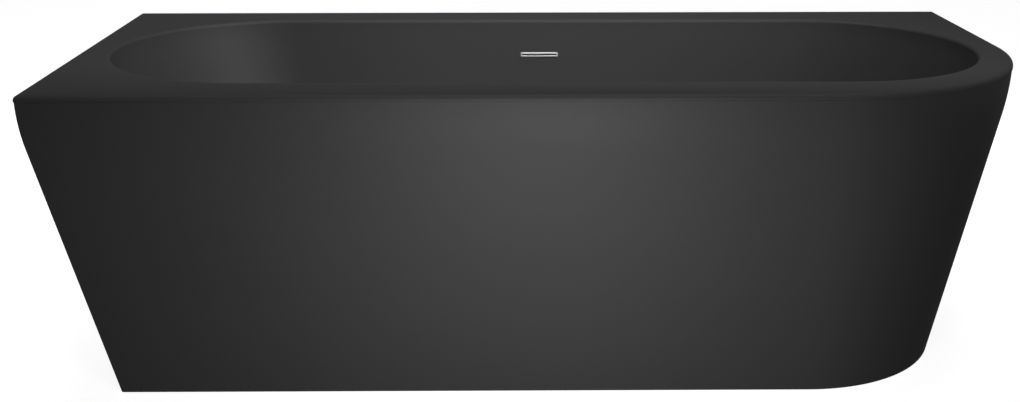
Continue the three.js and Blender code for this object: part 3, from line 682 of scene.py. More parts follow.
def rounded(corners, radius, steps=3):
    """A closed section with its corners rounded. Corners on the axis stay."""
    corners = np.asarray(corners, float)
    line = []
    neighbours = zip(np.roll(corners, 1, 0), corners, np.roll(corners, -1, 0))
    for before, corner, after in neighbours:
        if corner[0] == 0:
            line.append(corner)
            continue
        spans = [before - corner, after - corner]
        sizes = [np.linalg.norm(span) for span in spans]
        reach = min(radius, 0.45 * min(sizes))
        start, end = (corner + span / size * reach for span, size in zip(spans, sizes))
        for share in np.linspace(0, 1, steps + 1):
            line.append(
                (1 - share) ** 2 * start + 2 * share * (1 - share) * corner + share ** 2 * end
            )
    return np.array(line)


def block(x, y, z):
    """A plain block in mm. make() rounds its edges."""
    points = np.array([(i, j, k) for i in x for j in y for k in z], float) * mm
    return points, [[0, 1, 3, 2], [4, 6, 7, 5], [0, 4, 5, 1], [2, 3, 7, 6], [0, 2, 6, 4],
                    [1, 5, 7, 3]]


def moved(shell, move):
    """A shell turned and shifted. The shift is in millimetres."""
    points, faces = shell
    turn = np.array(move.to_3x3())
    return np.asarray(points).reshape(-1, 3) @ turn.T + np.array(move.translation) * mm, faces


def node_box(name):
    """A node's lowest and highest corners, in millimetres."""
    return [np.array(corner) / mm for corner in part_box(name)]


softwood = Finish("planed_softwood", (0.55, 0.36, 0.17), 0.7, Specular_IOR_Level=0.3)
rings_of_growth = softwood.node("TexWave", {"wave_type": "BANDS", "bands_direction": "Y"}, {
    "Vector": softwood.place((1.0, 14.0, 11.0)), "Scale": 2.2, "Distortion": 5.0,
    "Detail": 3.0, "Detail Scale": 0.7,
}, 1)
fibres = softwood.noise(60.0, 4.0, 0.6, (0.25, 12.0, 12.0))
stain = softwood.noise(4.0, 2.0)
softwood.drive(
    Base_Color=softwood.blend(
        rings_of_growth * 0.75 + fibres * 0.25,
        softwood.blend(stain, (0.66, 0.47, 0.25), (0.58, 0.38, 0.18)), (0.40, 0.22, 0.09),
    ),
    Roughness=0.5 + fibres * 0.3,
    Normal=softwood.bump(fibres + rings_of_growth * 0.4, 0.0004),
)
low, high = node_box("rear_rim_batten")
make("rear_rim_batten_planed", [block(*zip(low, high))], softwood,
     replaced=["rear_rim_batten"], bevel=1.5 * mm)

chipboard = Finish("chipboard", (0.45, 0.32, 0.18), 0.85, Specular_IOR_Level=0.25)
flakes = chipboard.node("TexVoronoi", {}, {
    "Vector": chipboard.place((1.0, 1.7, 2.6)), "Scale": 210.0, "Randomness": 1.0,
}, "Color")
chips = chipboard.node("SeparateColor", {}, {"Color": flakes})
dust = chipboard.noise(500.0, 3.0, 0.7)
chipboard.drive(
    Base_Color=chipboard.blend(
        dust * 0.5, chipboard.blend(chips, (0.34, 0.21, 0.10), (0.66, 0.50, 0.31)),
        (0.24, 0.15, 0.08),
    ),
    Roughness=0.7 + dust * 0.25,
    Normal=chipboard.bump(chips + dust, 0.0005),
)


def board_rows(z, hole, half_length, half_width):
    """Rings on one face of the board, from its hole to its edge. All in mm."""
    inner, outer = waste_ring(hole * mm, z * mm), oval_ring(
        z * mm, half_length * mm, half_width * mm)[0]
    return between(inner, outer, np.linspace(0, 1, 9))


low, high = node_box("base_board")
board_hole, soft_edge = 44.0, 1.2
make("base_board_panel", [sheet_shell(np.concatenate([
    board_rows(low[2], board_hole + soft_edge, high[0] - soft_edge, high[1] - soft_edge),
    oval_ring(np.array([low[2] + soft_edge, high[2] - soft_edge]) * mm,
              np.full(2, high[0] * mm), np.full(2, high[1] * mm)),
    board_rows(high[2], board_hole + soft_edge, high[0] - soft_edge, high[1] - soft_edge)[::-1],
    [waste_ring(board_hole * mm, (high[2] - soft_edge) * mm)],
    [waste_ring(board_hole * mm, (low[2] + soft_edge) * mm)],
]))], chipboard, replaced=["base_board"])

# ---------------------------------------------------------------- frame and stays
# Square zinc-plated tube and folded strip: these keep their modelled shape, with rounded edges and
# the plating's dull, patchy shine. Weld beads join the bars, and screws hold them to the board.
zinc = Finish("zinc_plate", (0.62, 0.63, 0.65), 0.34, 1.0)
spangle = zinc.node("TexVoronoi", {}, {
    "Vector": zinc.place(), "Scale": 110.0,
}, "Color")
patches = zinc.node("SeparateColor", {}, {"Color": spangle})
dull = zinc.noise(14.0, 4.0, 0.6)
drawn = zinc.noise(180.0, 2.0, 0.5, (0.06, 1.0, 1.0))
zinc.drive(
    Base_Color=zinc.blend(
        dull, zinc.blend(patches, (0.56, 0.58, 0.61), (0.70, 0.71, 0.73)), (0.47, 0.47, 0.45)
    ),
    Roughness=0.40 + dull * 0.22 + patches * 0.10,
    Normal=zinc.bump(drawn, 0.0002, zinc.bump(patches, 0.00006)),
)


def dress(node_name, finish, bevel=0.0):
    """Gives a node that keeps its own mesh its finish and, at its edges, small round-overs."""
    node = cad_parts[node_name]
    node.data.materials.clear()
    node.data.materials.append(finish.material)
    if bevel:
        weld = node.modifiers.new("one_skin", "WELD")
        weld.merge_threshold = 0.00002
        edge = node.modifiers.new("edges", "BEVEL")
        edge.width, edge.segments, edge.limit_method = bevel, 2, "ANGLE"
        edge.angle_limit = math.radians(40)


kept_steel = [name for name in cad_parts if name.startswith(("frame_", "skirt_stay_"))]
for name in kept_steel:
    dress(name, zinc, 1.2 * mm if name.startswith("frame_") else 0.6 * mm)


def weld_bead(start, end, width=4.0):
    """A run of overlapping scallops from start to end, laid in a corner."""
    start, end = np.array(start, float), np.array(end, float)
    along = end - start
    length = np.linalg.norm(along)
    rows = np.linspace(0, 1, int(length / 0.5) + 1)
    side = np.cross(along / length, [0.0, 0.0, 1.0])
    if np.linalg.norm(side) < 0.5:
        side = np.array([1.0, 0.0, 0.0])
    up = np.cross(side, along / length)
    turn = np.linspace(0, 2 * math.pi, 11)[:-1]
    scallop = 0.82 + 0.18 * np.abs(np.sin(rows * length / 2.2 * math.pi))
    taper = np.clip(np.minimum(rows, 1 - rows) * length / 2, 0.05, 1) ** 0.5
    radius = (width / 2 * scallop * taper)[:, None, None]
    points = start + rows[:, None, None] * along + radius * (
        np.cos(turn)[:, None] * side + np.sin(turn)[:, None] * up)
    return points * mm, grid_faces(*points.shape[:2]).tolist()


beads = []
for name in kept_steel:
    if name.startswith("frame_cross"):
        low, high = node_box(name)
        for y in (low[1], high[1]):
            for x in (low[0], high[0]):
                beads.append(weld_bead((x, y, low[2] + 3), (x, y, high[2] - 3), 3.0))
            beads.append(weld_bead((low[0] + 2, y, low[2]), (high[0] - 2, y, low[2]), 2.4))
make("frame_welds", beads, zinc, crease=60.0)


def screw_head(at, radius=5.0, axis="Z", down=-1):
    """A pan head with a washer and a cross recess, standing out from at along axis."""
    section = rounded([
        (0, 0), (radius + 2.5, 0), (radius + 2.5, 0.9), (radius, 0.9), (radius - 0.6, 2.2),
        (radius * 0.55, 2.9), (radius * 0.5, 1.6), (0, 1.3),
    ], 0.4)
    section[:, 1] *= down

    def cross(r, height, turn):
        """A cross recess: rows near the axis shrink, but not along the four arms."""
        arm = np.abs(np.sin(2 * turn))
        return np.where(r < radius * 0.58, r * (0.55 + 0.45 * (arm < 0.6)), r)

    return turned(section, at, 32, axis, cross)


rail_low, rail_high = node_box("frame_rail_front")
rail_y = (rail_low[1] + rail_high[1]) / 2
heads = []
for x in (-430.0, -260.0, -60.0, 60.0, 260.0, 430.0):
    heads.append(screw_head((x, rail_y, rail_low[2])))
for x in (-430.0, -260.0, 260.0, 430.0):
    heads.append(screw_head((x, -rail_y, rail_low[2])))
for name in kept_steel:
    if name.startswith("skirt_stay_"):
        low, high = node_box(name)
        middle = (low + high) / 2
        under_bar = {
            "skirt_stay_front_left": (middle[0], high[1] - 13),
            "skirt_stay_front_right": (middle[0], high[1] - 13),
            "skirt_stay_left_end": (high[0] - 13, middle[1]),
            "skirt_stay_right_end": (low[0] + 13, middle[1]),
        }[name]
        heads.append(screw_head((*under_bar, low[2])))
make("frame_screws", heads, zinc, crease=30.0)
low, high = node_box("rear_rim_batten")
make("batten_screws", [
    screw_head((x, high[1] - 1.0, (low[2] + high[2]) / 2), 4.2, "Y", 1)
    for x in (-780.0, -390.0, 0.0, 390.0, 780.0)
], zinc, crease=30.0)

# ---------------------------------------------------------------- feet
# Each foot is a ribbed rubber pad on a threaded M12 stem, with a nut under the rail and a lock nut.
rubber = Finish("black_rubber", (0.018, 0.018, 0.018), 0.75, Specular_IOR_Level=0.35)
bloom = rubber.noise(30.0, 4.0, 0.6)
pores = rubber.noise(1400.0, 2.0)
rubber.drive(
    Base_Color=rubber.blend(bloom, (0.014, 0.014, 0.014), (0.038, 0.037, 0.035)),
    Roughness=0.6 + bloom * 0.25, Normal=rubber.bump(pores, 0.0001),
)


def thread(depth, pitch, low, high, beyond=0.0):
    """A shape for turned(): a helical thread cut into radii larger than beyond."""
    def shape(radius, height, turn):
        """A saw of V grooves that climbs one pitch a turn and fades over a pitch at each end."""
        phase = (height / pitch - turn / (2 * math.pi)) % 1
        cut = depth * np.abs(2 * phase - 1) * np.clip((height - low) / pitch, 0, 1)
        cut = cut * np.clip((high - height) / pitch, 0, 1)
        return np.where(radius > beyond, radius - cut, radius)
    return shape


def nut(at, across, low, high, bore):
    """A hexagon nut about Z with its corners and its bore chamfered."""
    flat = across / 2

    def hexagon(radius, height, turn):
        """Half the width over the cosine of the angle from the nearest flat's middle."""
        corner = flat / np.cos((turn % (math.pi / 3)) - math.pi / 6)
        return np.where(radius > flat - 0.4, np.minimum(corner, radius), radius)

    section = [
        (bore, low + 0.8), (bore + 0.8, low), (flat * 0.95, low),
        (flat * 1.06, low + 0.7), (flat * 1.2, low + 1.5), (flat * 1.2, high - 1.5),
        (flat * 1.06, high - 0.7), (flat * 0.95, high), (bore + 0.8, high), (bore, high - 0.8),
    ]
    return turned(section, at, 60, "Z", hexagon)


def pad_ribs(radius, height, turn):
    """Twenty ribs down the pad's sloping side."""
    side = np.clip((radius - 17.5) / 3, 0, 1) * np.clip((height - 3.5) / 1.5, 0, 1)
    side = side * np.clip((11.5 - height) / 1.5, 0, 1)
    return radius - 0.9 * side * (0.5 - 0.5 * np.cos(20 * turn)) ** 2


pad_section = rounded([
    (0, 0.9), (6, 0.9), (6, 0), (9, 0), (9, 0.9), (14, 0.9), (14, 0), (17, 0), (17, 0.9),
    (21, 0.9), (21, 0), (25, 0), (25, 4), (24.2, 4.6), (23, 5.6), (21.4, 8), (19.8, 10.2),
    (18, 12), (9, 12), (8.6, 10.6), (6.2, 10.6), (6.2, 6.1), (0, 6.1),
], 0.35, 2)
for k in range(1, 6):
    body = f"foot_{k}"
    low, high = node_box(f"{body}_stem")
    x, y = (low + high)[:2] / 2
    make(f"{body}_pad_moulded", [turned(pad_section, (x, y, 0), 120, shape=pad_ribs)], rubber,
         body, [f"{body}_pad"])
    rows = np.arange(low[2] + 1.5, high[2] - 1.2, 0.35)
    stem = [(0, low[2]), (4.4, low[2]), *((6.0, z) for z in rows), (4.9, high[2]), (0, high[2])]
    make(f"{body}_stem_threaded",
         [turned(stem, (x, y, 0), 24, shape=thread(0.9, 1.75, 14, high[2], 5.0))], zinc,
         body, [f"{body}_stem"], crease=50.0)
    for part, turn_by in (("rail_nut", 0.0), ("lock_nut", 0.24)):
        low, high = node_box(f"{body}_{part}")
        turn_move = Matrix.Rotation(turn_by, 4, "Z")
        turn_move.translation = (x, y, 0)
        make(f"{body}_{part}_chamfered",
             [moved(nut((0, 0, 0), 19.0, low[2], high[2], 6.05), turn_move)], zinc,
             "tub", [f"{body}_{part}"], crease=25.0)

# ---------------------------------------------------------------- waste
# A chromed flange with a threaded tail clamps the basin between two seals and the black waste
# body. A sprung brass cartridge on the flange's bridge holds the push-to-open plug.
at_waste = (0.0, waste_y / mm, 0.0)

chrome = Finish("polished_chrome", (0.72, 0.73, 0.75), 0.10, 1.0)
smears = chrome.noise(40.0, 4.0, 0.6)
chrome.drive(
    Base_Color=chrome.blend(smears, (0.75, 0.76, 0.78), (0.66, 0.67, 0.68)),
    Roughness=0.06 + smears * 0.14,
    Normal=chrome.bump(chrome.noise(700.0), 0.00001),
)
brass = Finish("turned_brass", (0.60, 0.44, 0.17), 0.3, 1.0)
tarnish = brass.noise(60.0, 4.0, 0.6)
tool_marks = brass.noise(1500.0, 1.0, 0.5, (0.1, 0.1, 1.0))
brass.drive(
    Base_Color=brass.blend(tarnish, (0.68, 0.50, 0.20), (0.40, 0.27, 0.10)),
    Roughness=0.2 + tarnish * 0.3, Normal=brass.bump(tool_marks, 0.00006),
)
black_plastic = Finish("black_plastic", (0.016, 0.016, 0.017), 0.5, Specular_IOR_Level=0.45)
spark_grain = black_plastic.noise(1100.0, 2.0, 0.6)
flow = black_plastic.noise(18.0, 3.0)
black_plastic.drive(
    Base_Color=black_plastic.blend(flow, (0.014, 0.014, 0.015), (0.024, 0.024, 0.025)),
    Roughness=0.38 + flow * 0.12 + spark_grain * 0.08,
    Normal=black_plastic.bump(spark_grain, 0.00008),
)
white_plastic = Finish("white_plastic", (0.74, 0.74, 0.71), 0.4, Specular_IOR_Level=0.5)
cloud = white_plastic.noise(14.0, 3.0)
moulding = white_plastic.noise(900.0, 2.0)
white_plastic.drive(
    Base_Color=white_plastic.blend(cloud, (0.78, 0.78, 0.76), (0.70, 0.70, 0.66)),
    Roughness=0.28 + cloud * 0.12 + moulding * 0.06,
    Normal=white_plastic.bump(moulding, 0.00004),
)

flange_low, flange_high = (corner[2] for corner in node_box("waste_flange"))
seat = flange_high - 2.5
tail = [(20.0, z) for z in np.arange(seat - 5.0, flange_low + 1.0, -0.4)]
flange = [
    (17.5, flange_low + 0.4), (18.4, flange_low), *tail[::-1], (20.0, seat), (34.2, seat),
    (35.0, seat + 0.6), (35.0, flange_high - 1.2), (34.6, flange_high - 0.5),
    (33.4, flange_high), (22.5, flange_high), (20.6, flange_high - 0.4),
    (18.6, flange_high - 1.6), (17.5, flange_high - 3.6),
]


def bridge_shape(radius, height, turn):
    """Carries the wide rows out to a bar 18 wide that ends in the tail's bore."""
    across = np.minimum(18.0, 9.0 / np.maximum(np.abs(np.sin(turn)), 0.001))
    return np.where(radius > 10, across - (20 - radius), radius)


bridge_top = seat - 5.0
bridge = [(5.3, bridge_top - 5.0), (19.6, bridge_top - 5.0), (20.0, bridge_top - 4.6),
          (20.0, bridge_top - 0.4), (19.6, bridge_top), (5.3, bridge_top)]
make("waste_flange_polished", [
    turned(flange, at_waste, 64, shape=thread(0.8, 2.3, flange_low, seat - 5.0, 19.0)),
    turned(bridge, at_waste, 96, shape=bridge_shape),
], chrome, replaced=["waste_flange"], crease=50.0)

low, high = (corner[2] for corner in node_box("waste_plug_cap"))
make("waste_plug_cap_polished", [turned([
    (0, low + 1.5), (24.2, low + 1.5), (25.4, low + 1.2), (26.0, low + 0.1), (26.3, low),
    (29.6, low), (30.6, low + 0.4), (31.0, low + 1.3), (31.0, high - 2.4), (30.8, high - 1.7),
    (30.2, high - 1.1), (29.2, high - 0.75), (26.0, high - 0.5), (20.0, high - 0.25),
    (10.0, high - 0.05), (0, high),
], at_waste, 96)], chrome, "plug", ["waste_plug_cap"], crease=60.0)
low, high = (corner[2] for corner in node_box("waste_plug_stem"))
grooves = [(3.0 - 0.35 * (k % 2), low + 2 + 0.8 * k) for k in range(8)]
make("waste_plug_stem_turned", [turned([
    (0, low), (2.4, low), (3.0, low + 0.6), *grooves, (3.0, low + 9), (3.0, high), (0, high),
], at_waste, 32)], brass, "plug", ["waste_plug_stem"], crease=40.0)
low, high = (corner[2] for corner in node_box("waste_cartridge"))
collar = high - 3.0
turns = [(5.0, z) for z in np.arange(low + 1.5, collar - 2.0, 0.2)]
make("waste_cartridge_turned", [turned([
    (3.3, low + 0.4), (3.7, low), (4.5, low), *turns, (4.6, collar - 1.6), (4.6, collar),
    (6.7, collar), (7.0, collar + 0.3), (7.0, high - 0.5), (6.5, high), (3.7, high),
    (3.3, high - 0.4),
], at_waste, 40, shape=thread(0.5, 1.0, low + 1.5, collar - 2.0, 4.8))], brass,
     replaced=["waste_cartridge"], crease=45.0)

for name, inner, outer in (("waste_seal_upper", 20.3, 34.0), ("waste_seal_lower", 24.0, 35.0),
                           ("trap_washer", 19.0, 24.0)):
    low, high = (corner[2] for corner in node_box(name))
    middle = (inner + outer) / 2
    lips = rounded([
        (inner, low), (middle - 1, low), (middle, low + 0.35), (middle + 1, low), (outer, low),
        (outer, high), (middle + 1, high), (middle, high - 0.35), (middle - 1, high),
        (inner, high),
    ], 0.6)
    make(f"{name}_moulded", [turned(lips, at_waste, 64)], rubber, replaced=[name])

body_low, body_high = (corner[2] for corner in node_box("waste_body"))
body_thread = body_low + 8.0
port_z = 105.4


def body_ribs(radius, height, turn):
    """Eight upright ribs between the thread and the lip."""
    there = (radius > 26.5) & (height > body_thread + 3) & (height < body_high - 4.5)
    rib = np.clip((np.cos(8 * turn + math.pi) - 0.86) / 0.08, 0, 1)
    fade = np.clip((height - body_thread - 3) / 3, 0, 1)
    return np.where(there, radius + 3.2 * rib * fade, radius)


body_turns = [(25.0, z) for z in np.arange(body_low + 0.6, body_thread - 0.4, 0.35)]
body_side = [(27.0, z) for z in np.linspace(body_thread + 3, body_high - 5, 9)]


def body_shape(radius, height, turn):
    """The waste body's lower thread and its ribs."""
    screwed = thread(1.0, 2.3, body_low, body_thread, 24.0)(radius, height, turn)
    return body_ribs(screwed, height, turn)


barbs = []
for k in range(4):
    barbs += [(9.5, 39.5 + 4.5 * k), (8.6, 43.5 + 4.5 * k)]
port = [(6.8, 22.0), (11.8, 22.0), (11.8, 35.4), (11.2, 36.0), (8.9, 36.2), *barbs,
        (8.4, 58.0), (6.8, 58.0)]
at_port = (0.0, at_waste[1], port_z)
make("waste_body_moulded", [turned([
    (20.3, body_low + 0.5), (20.8, body_low), (24.4, body_low), *body_turns,
    (25.0, body_thread), (27.0, body_thread + 1.0), *body_side, (27.4, body_high - 4.6),
    (29.0, body_high - 4.2), (34.4, body_high - 4.0), (35.0, body_high - 3.4),
    (35.0, body_high - 0.6), (34.4, body_high), (20.8, body_high), (20.3, body_high - 0.5),
], at_waste, 192, shape=body_shape), turned(port, at_port, 40, "Y")],
    black_plastic, replaced=["waste_body"], crease=40.0)

# ---------------------------------------------------------------- trap
# A shallow white bottle trap hangs from the waste body on a fluted union nut, and can swivel. Its
# outlet takes a 40 mm pipe, held by a compression nut, which runs to the wall.
union_low, union_high = (corner[2] for corner in node_box("trap_union_nut"))


def flutes(count, from_radius, depth, low, high):
    """A shape for turned(): finger grips round a nut, fading out at its ends."""
    def shape(radius, height, turn):
        """The cube of a cosine round the axis, faded over 2 mm at each end."""
        fade = np.clip((height - low) / 2, 0, 1) * np.clip((high - height) / 2, 0, 1)
        grip = (0.5 + 0.5 * np.cos(count * turn)) ** 3
        return np.where(radius > from_radius, radius - depth * fade * grip, radius)
    return shape


def nut_section(inner, outer, low, high):
    """Half the section of a round nut, with both its ends rounded over."""
    side = [(outer, z) for z in np.linspace(low + 1.6, high - 1.6, 9)]
    return [(inner, low + 0.6), (inner + 0.6, low), (outer - 2.2, low), (outer - 0.7, low + 0.5),
            *side, (outer - 0.7, high - 0.5), (outer - 2.2, high), (inner + 0.6, high),
            (inner, high - 0.6)]


make("trap_union_nut_moulded", [turned(
    nut_section(25.35, 33.0, union_low, union_high), at_waste, 192,
    shape=flutes(16, 31.0, 2.4, union_low + 1, union_high - 1),
)], white_plastic, replaced=["trap_union_nut"], crease=40.0)

low, high = (corner[2] for corner in node_box("trap_dip_tube"))
make("trap_dip_tube_moulded", [turned(rounded([
    (17, low), (19, low), (19, high - 2), (24, high - 2), (24, high), (17, high),
], 0.5), at_waste, 48)], white_plastic, "trap", ["trap_dip_tube"])

low, neck_top = (corner[2] for corner in node_box("trap_body"))
bowl_top = 71.0
outlet_z = 47.0


def bowl_ribs(radius, height, turn):
    """Grips round the bowl's foot, where it is held to unscrew it."""
    fade = np.clip((height - 9) / 2, 0, 1) * np.clip((20 - height) / 2, 0, 1)
    return np.where(radius > 34.5, radius - 1.1 * fade * (0.5 - 0.5 * np.cos(36 * turn)), radius)


bowl_side = [(36.0, z) for z in (10, 12, 15, 18, 20, 21.5)]
bowl_section = [
    (0, low + 1.2), (20, low + 1.2), (21, low), (31, low), (33.4, low + 0.6), (35.2, low + 2),
    (35.9, low + 4), *bowl_side, (36.0, 22.4), (34.9, 23.0), (34.9, 24.0), (36.0, 24.6),
    (36.0, bowl_top - 4.5), (35.4, bowl_top - 2), (33.8, bowl_top - 0.5), (32, bowl_top),
    (24.6, bowl_top), (24, bowl_top + 0.6), (24, neck_top), (21, neck_top),
    (21, bowl_top - 3), (32.5, bowl_top - 6), (33, bowl_top - 8), (33, low + 4), (0, low + 3),
]
at_outlet = (0.0, at_waste[1], outlet_z)
socket_turns = [(23.3, y) for y in np.arange(40.0, 65.4, 0.5)]
make("trap_body_moulded", [
    turned(bowl_section, at_waste, 144, shape=bowl_ribs),
    turned([(20.3, 37.5), (18.1, 37.4), (18.1, 31.0), (23.3, 31.0), *socket_turns,
            (22.6, 66.0), (20.8, 66.0), (20.3, 65.4)], at_outlet, 64, "Y",
           thread(0.9, 2.8, 46.0, 66.0, 22.0)),
], white_plastic, "trap", ["trap_body"], crease=45.0)

nut_start, nut_end = 46.0, 72.0
nut_shoulder = nut_end - 4.0
outlet_nut = [
    (23.6, nut_start + 0.6), (24.2, nut_start), (27.8, nut_start), (29.3, nut_start + 0.5),
    *((30.0, y) for y in np.linspace(nut_start + 1.6, nut_shoulder, 9)),
    (29.0, nut_end - 1.8), (27.0, nut_end - 0.6), (24.6, nut_end), (20.9, nut_end),
    (20.3, nut_end - 0.6), (20.3, nut_shoulder), (23.6, nut_shoulder),
]
make("trap_outlet_nut_moulded", [turned(outlet_nut, at_outlet, 168, "Y",
                                        flutes(14, 28.6, 2.2, nut_start + 2, nut_shoulder))],
     white_plastic, "trap", ["trap_outlet_nut"], crease=40.0)
pipe_start, pipe_end = (corner[1] - at_waste[1] for corner in node_box("outlet_pipe"))
make("outlet_pipe_cut", [turned([
    (18.1, pipe_start), (20.0, pipe_start), (20.0, pipe_end - 2.2), (19.0, pipe_end - 0.1),
    (18.6, pipe_end), (18.1, pipe_end - 0.3),
], at_outlet, 64, "Y")], white_plastic, "trap", ["outlet_pipe"])

# ---------------------------------------------------------------- overflow
# A chromed slot bezel on the basin's rear wall leads through a gasket to a flat black box. All
# three lean with the wall. A corrugated hose, clamped at both ends, drops to the waste body.
slot_z = rim_top - 76 * mm
slot_y = oval_half_width - wall_inset(slot_z, side_slope, side_fillet)
on_wall = Matrix.Rotation(-side_slope, 4, "X")
on_wall.translation = (0.0, float(slot_y) / mm, slot_z / mm)


def loop_shell(loops):
    """A closed ring of section loops, each an array of points in mm, joined row to row."""
    points = np.array(loops, float)
    return points * mm, grid_faces(*points.shape[:2], closed_rows=True).tolist()


def slot_loop(half_length, half_height, corner, y):
    """A round-cornered rectangle around the slot, in the plane y."""
    points = []
    for side_x, side_z, start in ((1, 1, 0), (-1, 1, 90), (-1, -1, 180), (1, -1, 270)):
        turn = arc_steps(start, start + 90, 6)
        points += [
            (side_x * (half_length - corner) + corner * math.cos(t), y,
             side_z * (half_height - corner) + corner * math.sin(t)) for t in turn
        ]
    return points


bezel = loop_shell([
    slot_loop(37.4, 1.1, 1.0, -1.2), slot_loop(37.6, 1.3, 1.2, -1.7),
    slot_loop(38.0, 1.7, 1.5, -1.9), slot_loop(40.9, 4.9, 3.5, -1.9),
    slot_loop(41.4, 5.4, 3.6, -1.4), slot_loop(41.7, 5.7, 3.7, -0.3),
    slot_loop(39.7, 3.7, 2.6, -0.3), slot_loop(39.7, 3.7, 2.6, 8.4),
    slot_loop(38.1, 2.1, 1.8, 8.4),
])
satin_chrome = Finish("satin_chrome", (0.52, 0.52, 0.52), 0.5, 1.0)
brushed = satin_chrome.noise(900.0, 2.0, 0.5, (0.05, 1.0, 1.0))
water_marks = satin_chrome.noise(60.0, 3.0)
satin_chrome.drive(
    Base_Color=satin_chrome.blend(water_marks, (0.56, 0.56, 0.56), (0.48, 0.48, 0.48)),
    Roughness=0.50 + brushed * 0.12, Normal=satin_chrome.bump(brushed, 0.00002),
)
make("overflow_bezel_brushed", [moved(bezel, on_wall)], satin_chrome,
     replaced=["overflow_bezel"], crease=50.0)
wall_slot = moved(block((-39.9, 39.9), (-12, 12), (-3.9, 3.9)), on_wall)
cut_out(basin_sheet, [wall_slot])
cut_out(basin_backing, [wall_slot])

gasket = loop_shell([
    slot_loop(41, 5, 3, 6.5), slot_loop(57.2, 15.2, 5, 6.5), slot_loop(58, 16, 5, 6.9),
    slot_loop(58, 16, 5, 7.7), slot_loop(57.2, 15.2, 5, 8.1), slot_loop(41, 5, 3, 8.1),
])
make("overflow_gasket_moulded", [moved(gasket, on_wall)], rubber,
     replaced=["overflow_gasket"], crease=50.0)

box_front, box_back, box_top, box_bottom = 8.6, 42.6, 16.0, -36.0
spout_y, spout_foot = 25.6, -68.0
ribs = [block((x - 1, x + 1), (box_back - 2.5, box_back), (box_bottom + 5, box_top - 5))
        for x in range(-48, 49, 16)]
spout_barbs = []
for k in range(4):
    spout_barbs += [(9.5, spout_foot + 2.5 + 4.5 * k), (8.6, spout_foot - 1.5 + 4.5 * (k + 1))]
spout = [(6.8, spout_foot), (8.4, spout_foot), *spout_barbs[:-1], (8.9, -46.0),
         (8.9, box_bottom - 6.2), (12, box_bottom - 6), (12, box_bottom + 2), (6.8, box_bottom + 2)]
overflow_box = make("overflow_box_moulded", [moved(shell, on_wall) for shell in (
    block((-58, 58), (box_front, box_back - 1.5), (box_bottom, box_top)), *ribs,
    turned(spout, (0, spout_y, 0), 40),
)], black_plastic, replaced=["overflow_box"], crease=30.0)
cut_out(overflow_box, [moved(block((-41, 41), (box_front - 1, spout_y), (-5, 5)), on_wall)])


def hose_route():
    """The hose's middle line in mm: off the spout, down, round a wide bend, into the port."""
    start, down = (np.array(on_wall @ Vector((0, spout_y, z)))
                   for z in (box_bottom - 6, spout_foot - 10))
    bend, upright = 85.0, down[1] - 8.0
    end = np.array([0.0, at_waste[1] + 38.0, port_z])
    turn = np.linspace(0, math.pi / 2, 40)
    rough = [start, down]
    rough += [(0, upright, z) for z in np.linspace(down[2] - 25, port_z + bend + 4, 12)]
    rough += [(0, upright - bend * (1 - math.cos(t)), port_z + bend * (1 - math.sin(t)))
              for t in turn]
    rough += [(0, end[1] + 22, port_z), end]
    rough = np.array(rough)
    run = np.concatenate([[0], np.cumsum(np.linalg.norm(np.diff(rough, axis=0), axis=1))])
    steps = np.arange(0, run[-1], 0.55)
    line = np.stack([np.interp(steps, run, rough[:, k]) for k in range(3)], -1)
    reach = 22
    ends = np.concatenate([np.repeat(line[:1], reach, 0), line, np.repeat(line[-1:], reach, 0)])
    soft = np.stack([
        np.convolve(ends[:, k], np.ones(2 * reach + 1) / (2 * reach + 1), "valid")
        for k in range(3)], -1)
    share = np.clip(np.minimum(np.arange(len(line)), np.arange(len(line))[::-1]) / reach, 0, 1)
    return line + share[:, None] * (soft - line), steps


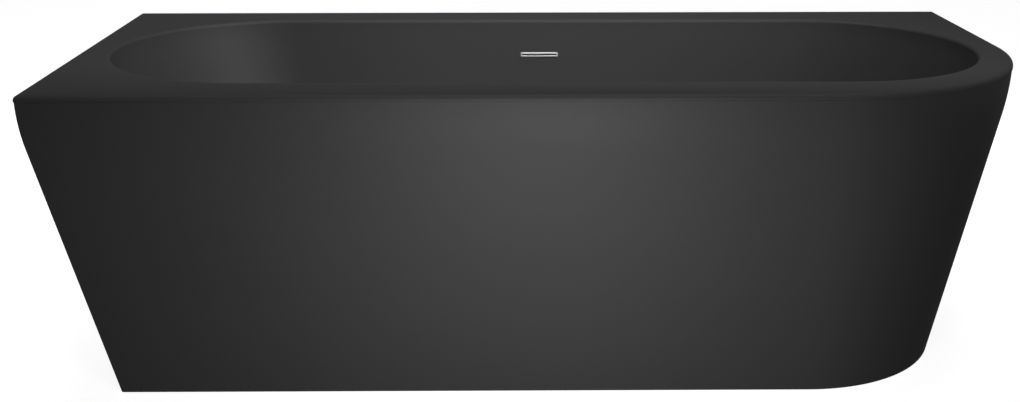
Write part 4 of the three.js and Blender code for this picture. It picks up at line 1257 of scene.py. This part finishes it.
def hose_shell():
    """A tube swept along the route. Its radius rises and falls once for each 4.6 mm corrugation,
    but for plain cuffs at both ends."""
    line, run = hose_route()
    heading = np.gradient(line, axis=0)
    heading /= np.linalg.norm(heading, axis=1)[:, None]
    side = np.array([1.0, 0.0, 0.0])
    up = np.cross(heading, side)
    turn = np.linspace(0, 2 * math.pi, 29)[:-1]
    cuff = 31.0
    inner = np.clip(np.minimum(run - cuff, run[-1] - cuff - run) / 6, 0, 1)
    radius = 12.0 - 1.5 * inner * (0.5 - 0.5 * np.cos(2 * math.pi * run / 4.6)) ** 0.7

    def tube(sizes):
        """Circles of these radii, square to the route."""
        return line[:, None] + sizes[:, None, None] * (
            np.cos(turn)[None, :, None] * side + np.sin(turn)[None, :, None] * up[:, None])

    skin = np.concatenate([tube(radius), tube(np.full(len(line), 9.7))[::-1]])
    return skin * mm, grid_faces(*skin.shape[:2], closed_rows=True).tolist()


make("overflow_hose_ribbed", [hose_shell()], black_plastic,
     replaced=["overflow_hose"], crease=60.0)


def clamp_shells():
    """A worm-drive clamp about Z: band with its slots, housing, and a slotted hexagon screw."""
    band = turned(rounded([(12.3, -4.5), (13.5, -4.5), (13.5, 4.5), (12.3, 4.5)], 0.35), steps=80)
    slots = []
    for k in range(26):
        turn = math.radians(-70 + 10 * k + 180)
        tooth = block((-0.45, 0.45), (13.3, 13.75), (-2.8, 2.8))
        slots.append(moved(tooth, Matrix.Rotation(turn, 4, "Z")))
    housing = block((-6, 6), (13.1, 18.5), (-4.5, 4.5))

    def hexagon(radius, height, turn):
        """Half the width over the cosine of the angle from the nearest flat's middle."""
        corner = 3.0 / np.cos((turn % (math.pi / 3)) - math.pi / 6)
        return np.where((height > 6.5) & (radius > 2.6), np.minimum(corner, radius), radius)

    rows = [(2.6, z) for z in np.arange(-9.2, 5.8, 0.3)]
    screw = turned([(0, -10), (1.8, -10), *rows, (2.4, 6.0), (2.4, 6.4), (4.2, 6.6), (4.2, 9.5),
                    (2.7, 10), (1.2, 10), (1.2, 9.0), (0, 9.0)], steps=48,
                   shape=lambda r, h, t: hexagon(thread(0.5, 1.3, -9.5, 5.8, 2.5)(r, h, t), h, t))
    across = Matrix.Rotation(math.pi / 2, 4, "Y")
    across.translation = (0, 16.4, 0)
    return [band, housing, moved(screw, across), *slots]


upper = on_wall @ Matrix.Translation((0, spout_y, -54))
lower = Matrix.Rotation(math.pi / 2, 4, "X") @ Matrix.Rotation(math.pi, 4, "Z")
lower.translation = (0, at_waste[1] + 48.0, port_z)
for name, place in (("hose_clamp_upper", upper), ("hose_clamp_lower", lower)):
    make(f"{name}_pressed", [moved(shell, place) for shell in clamp_shells()], zinc,
         replaced=[name], crease=30.0)
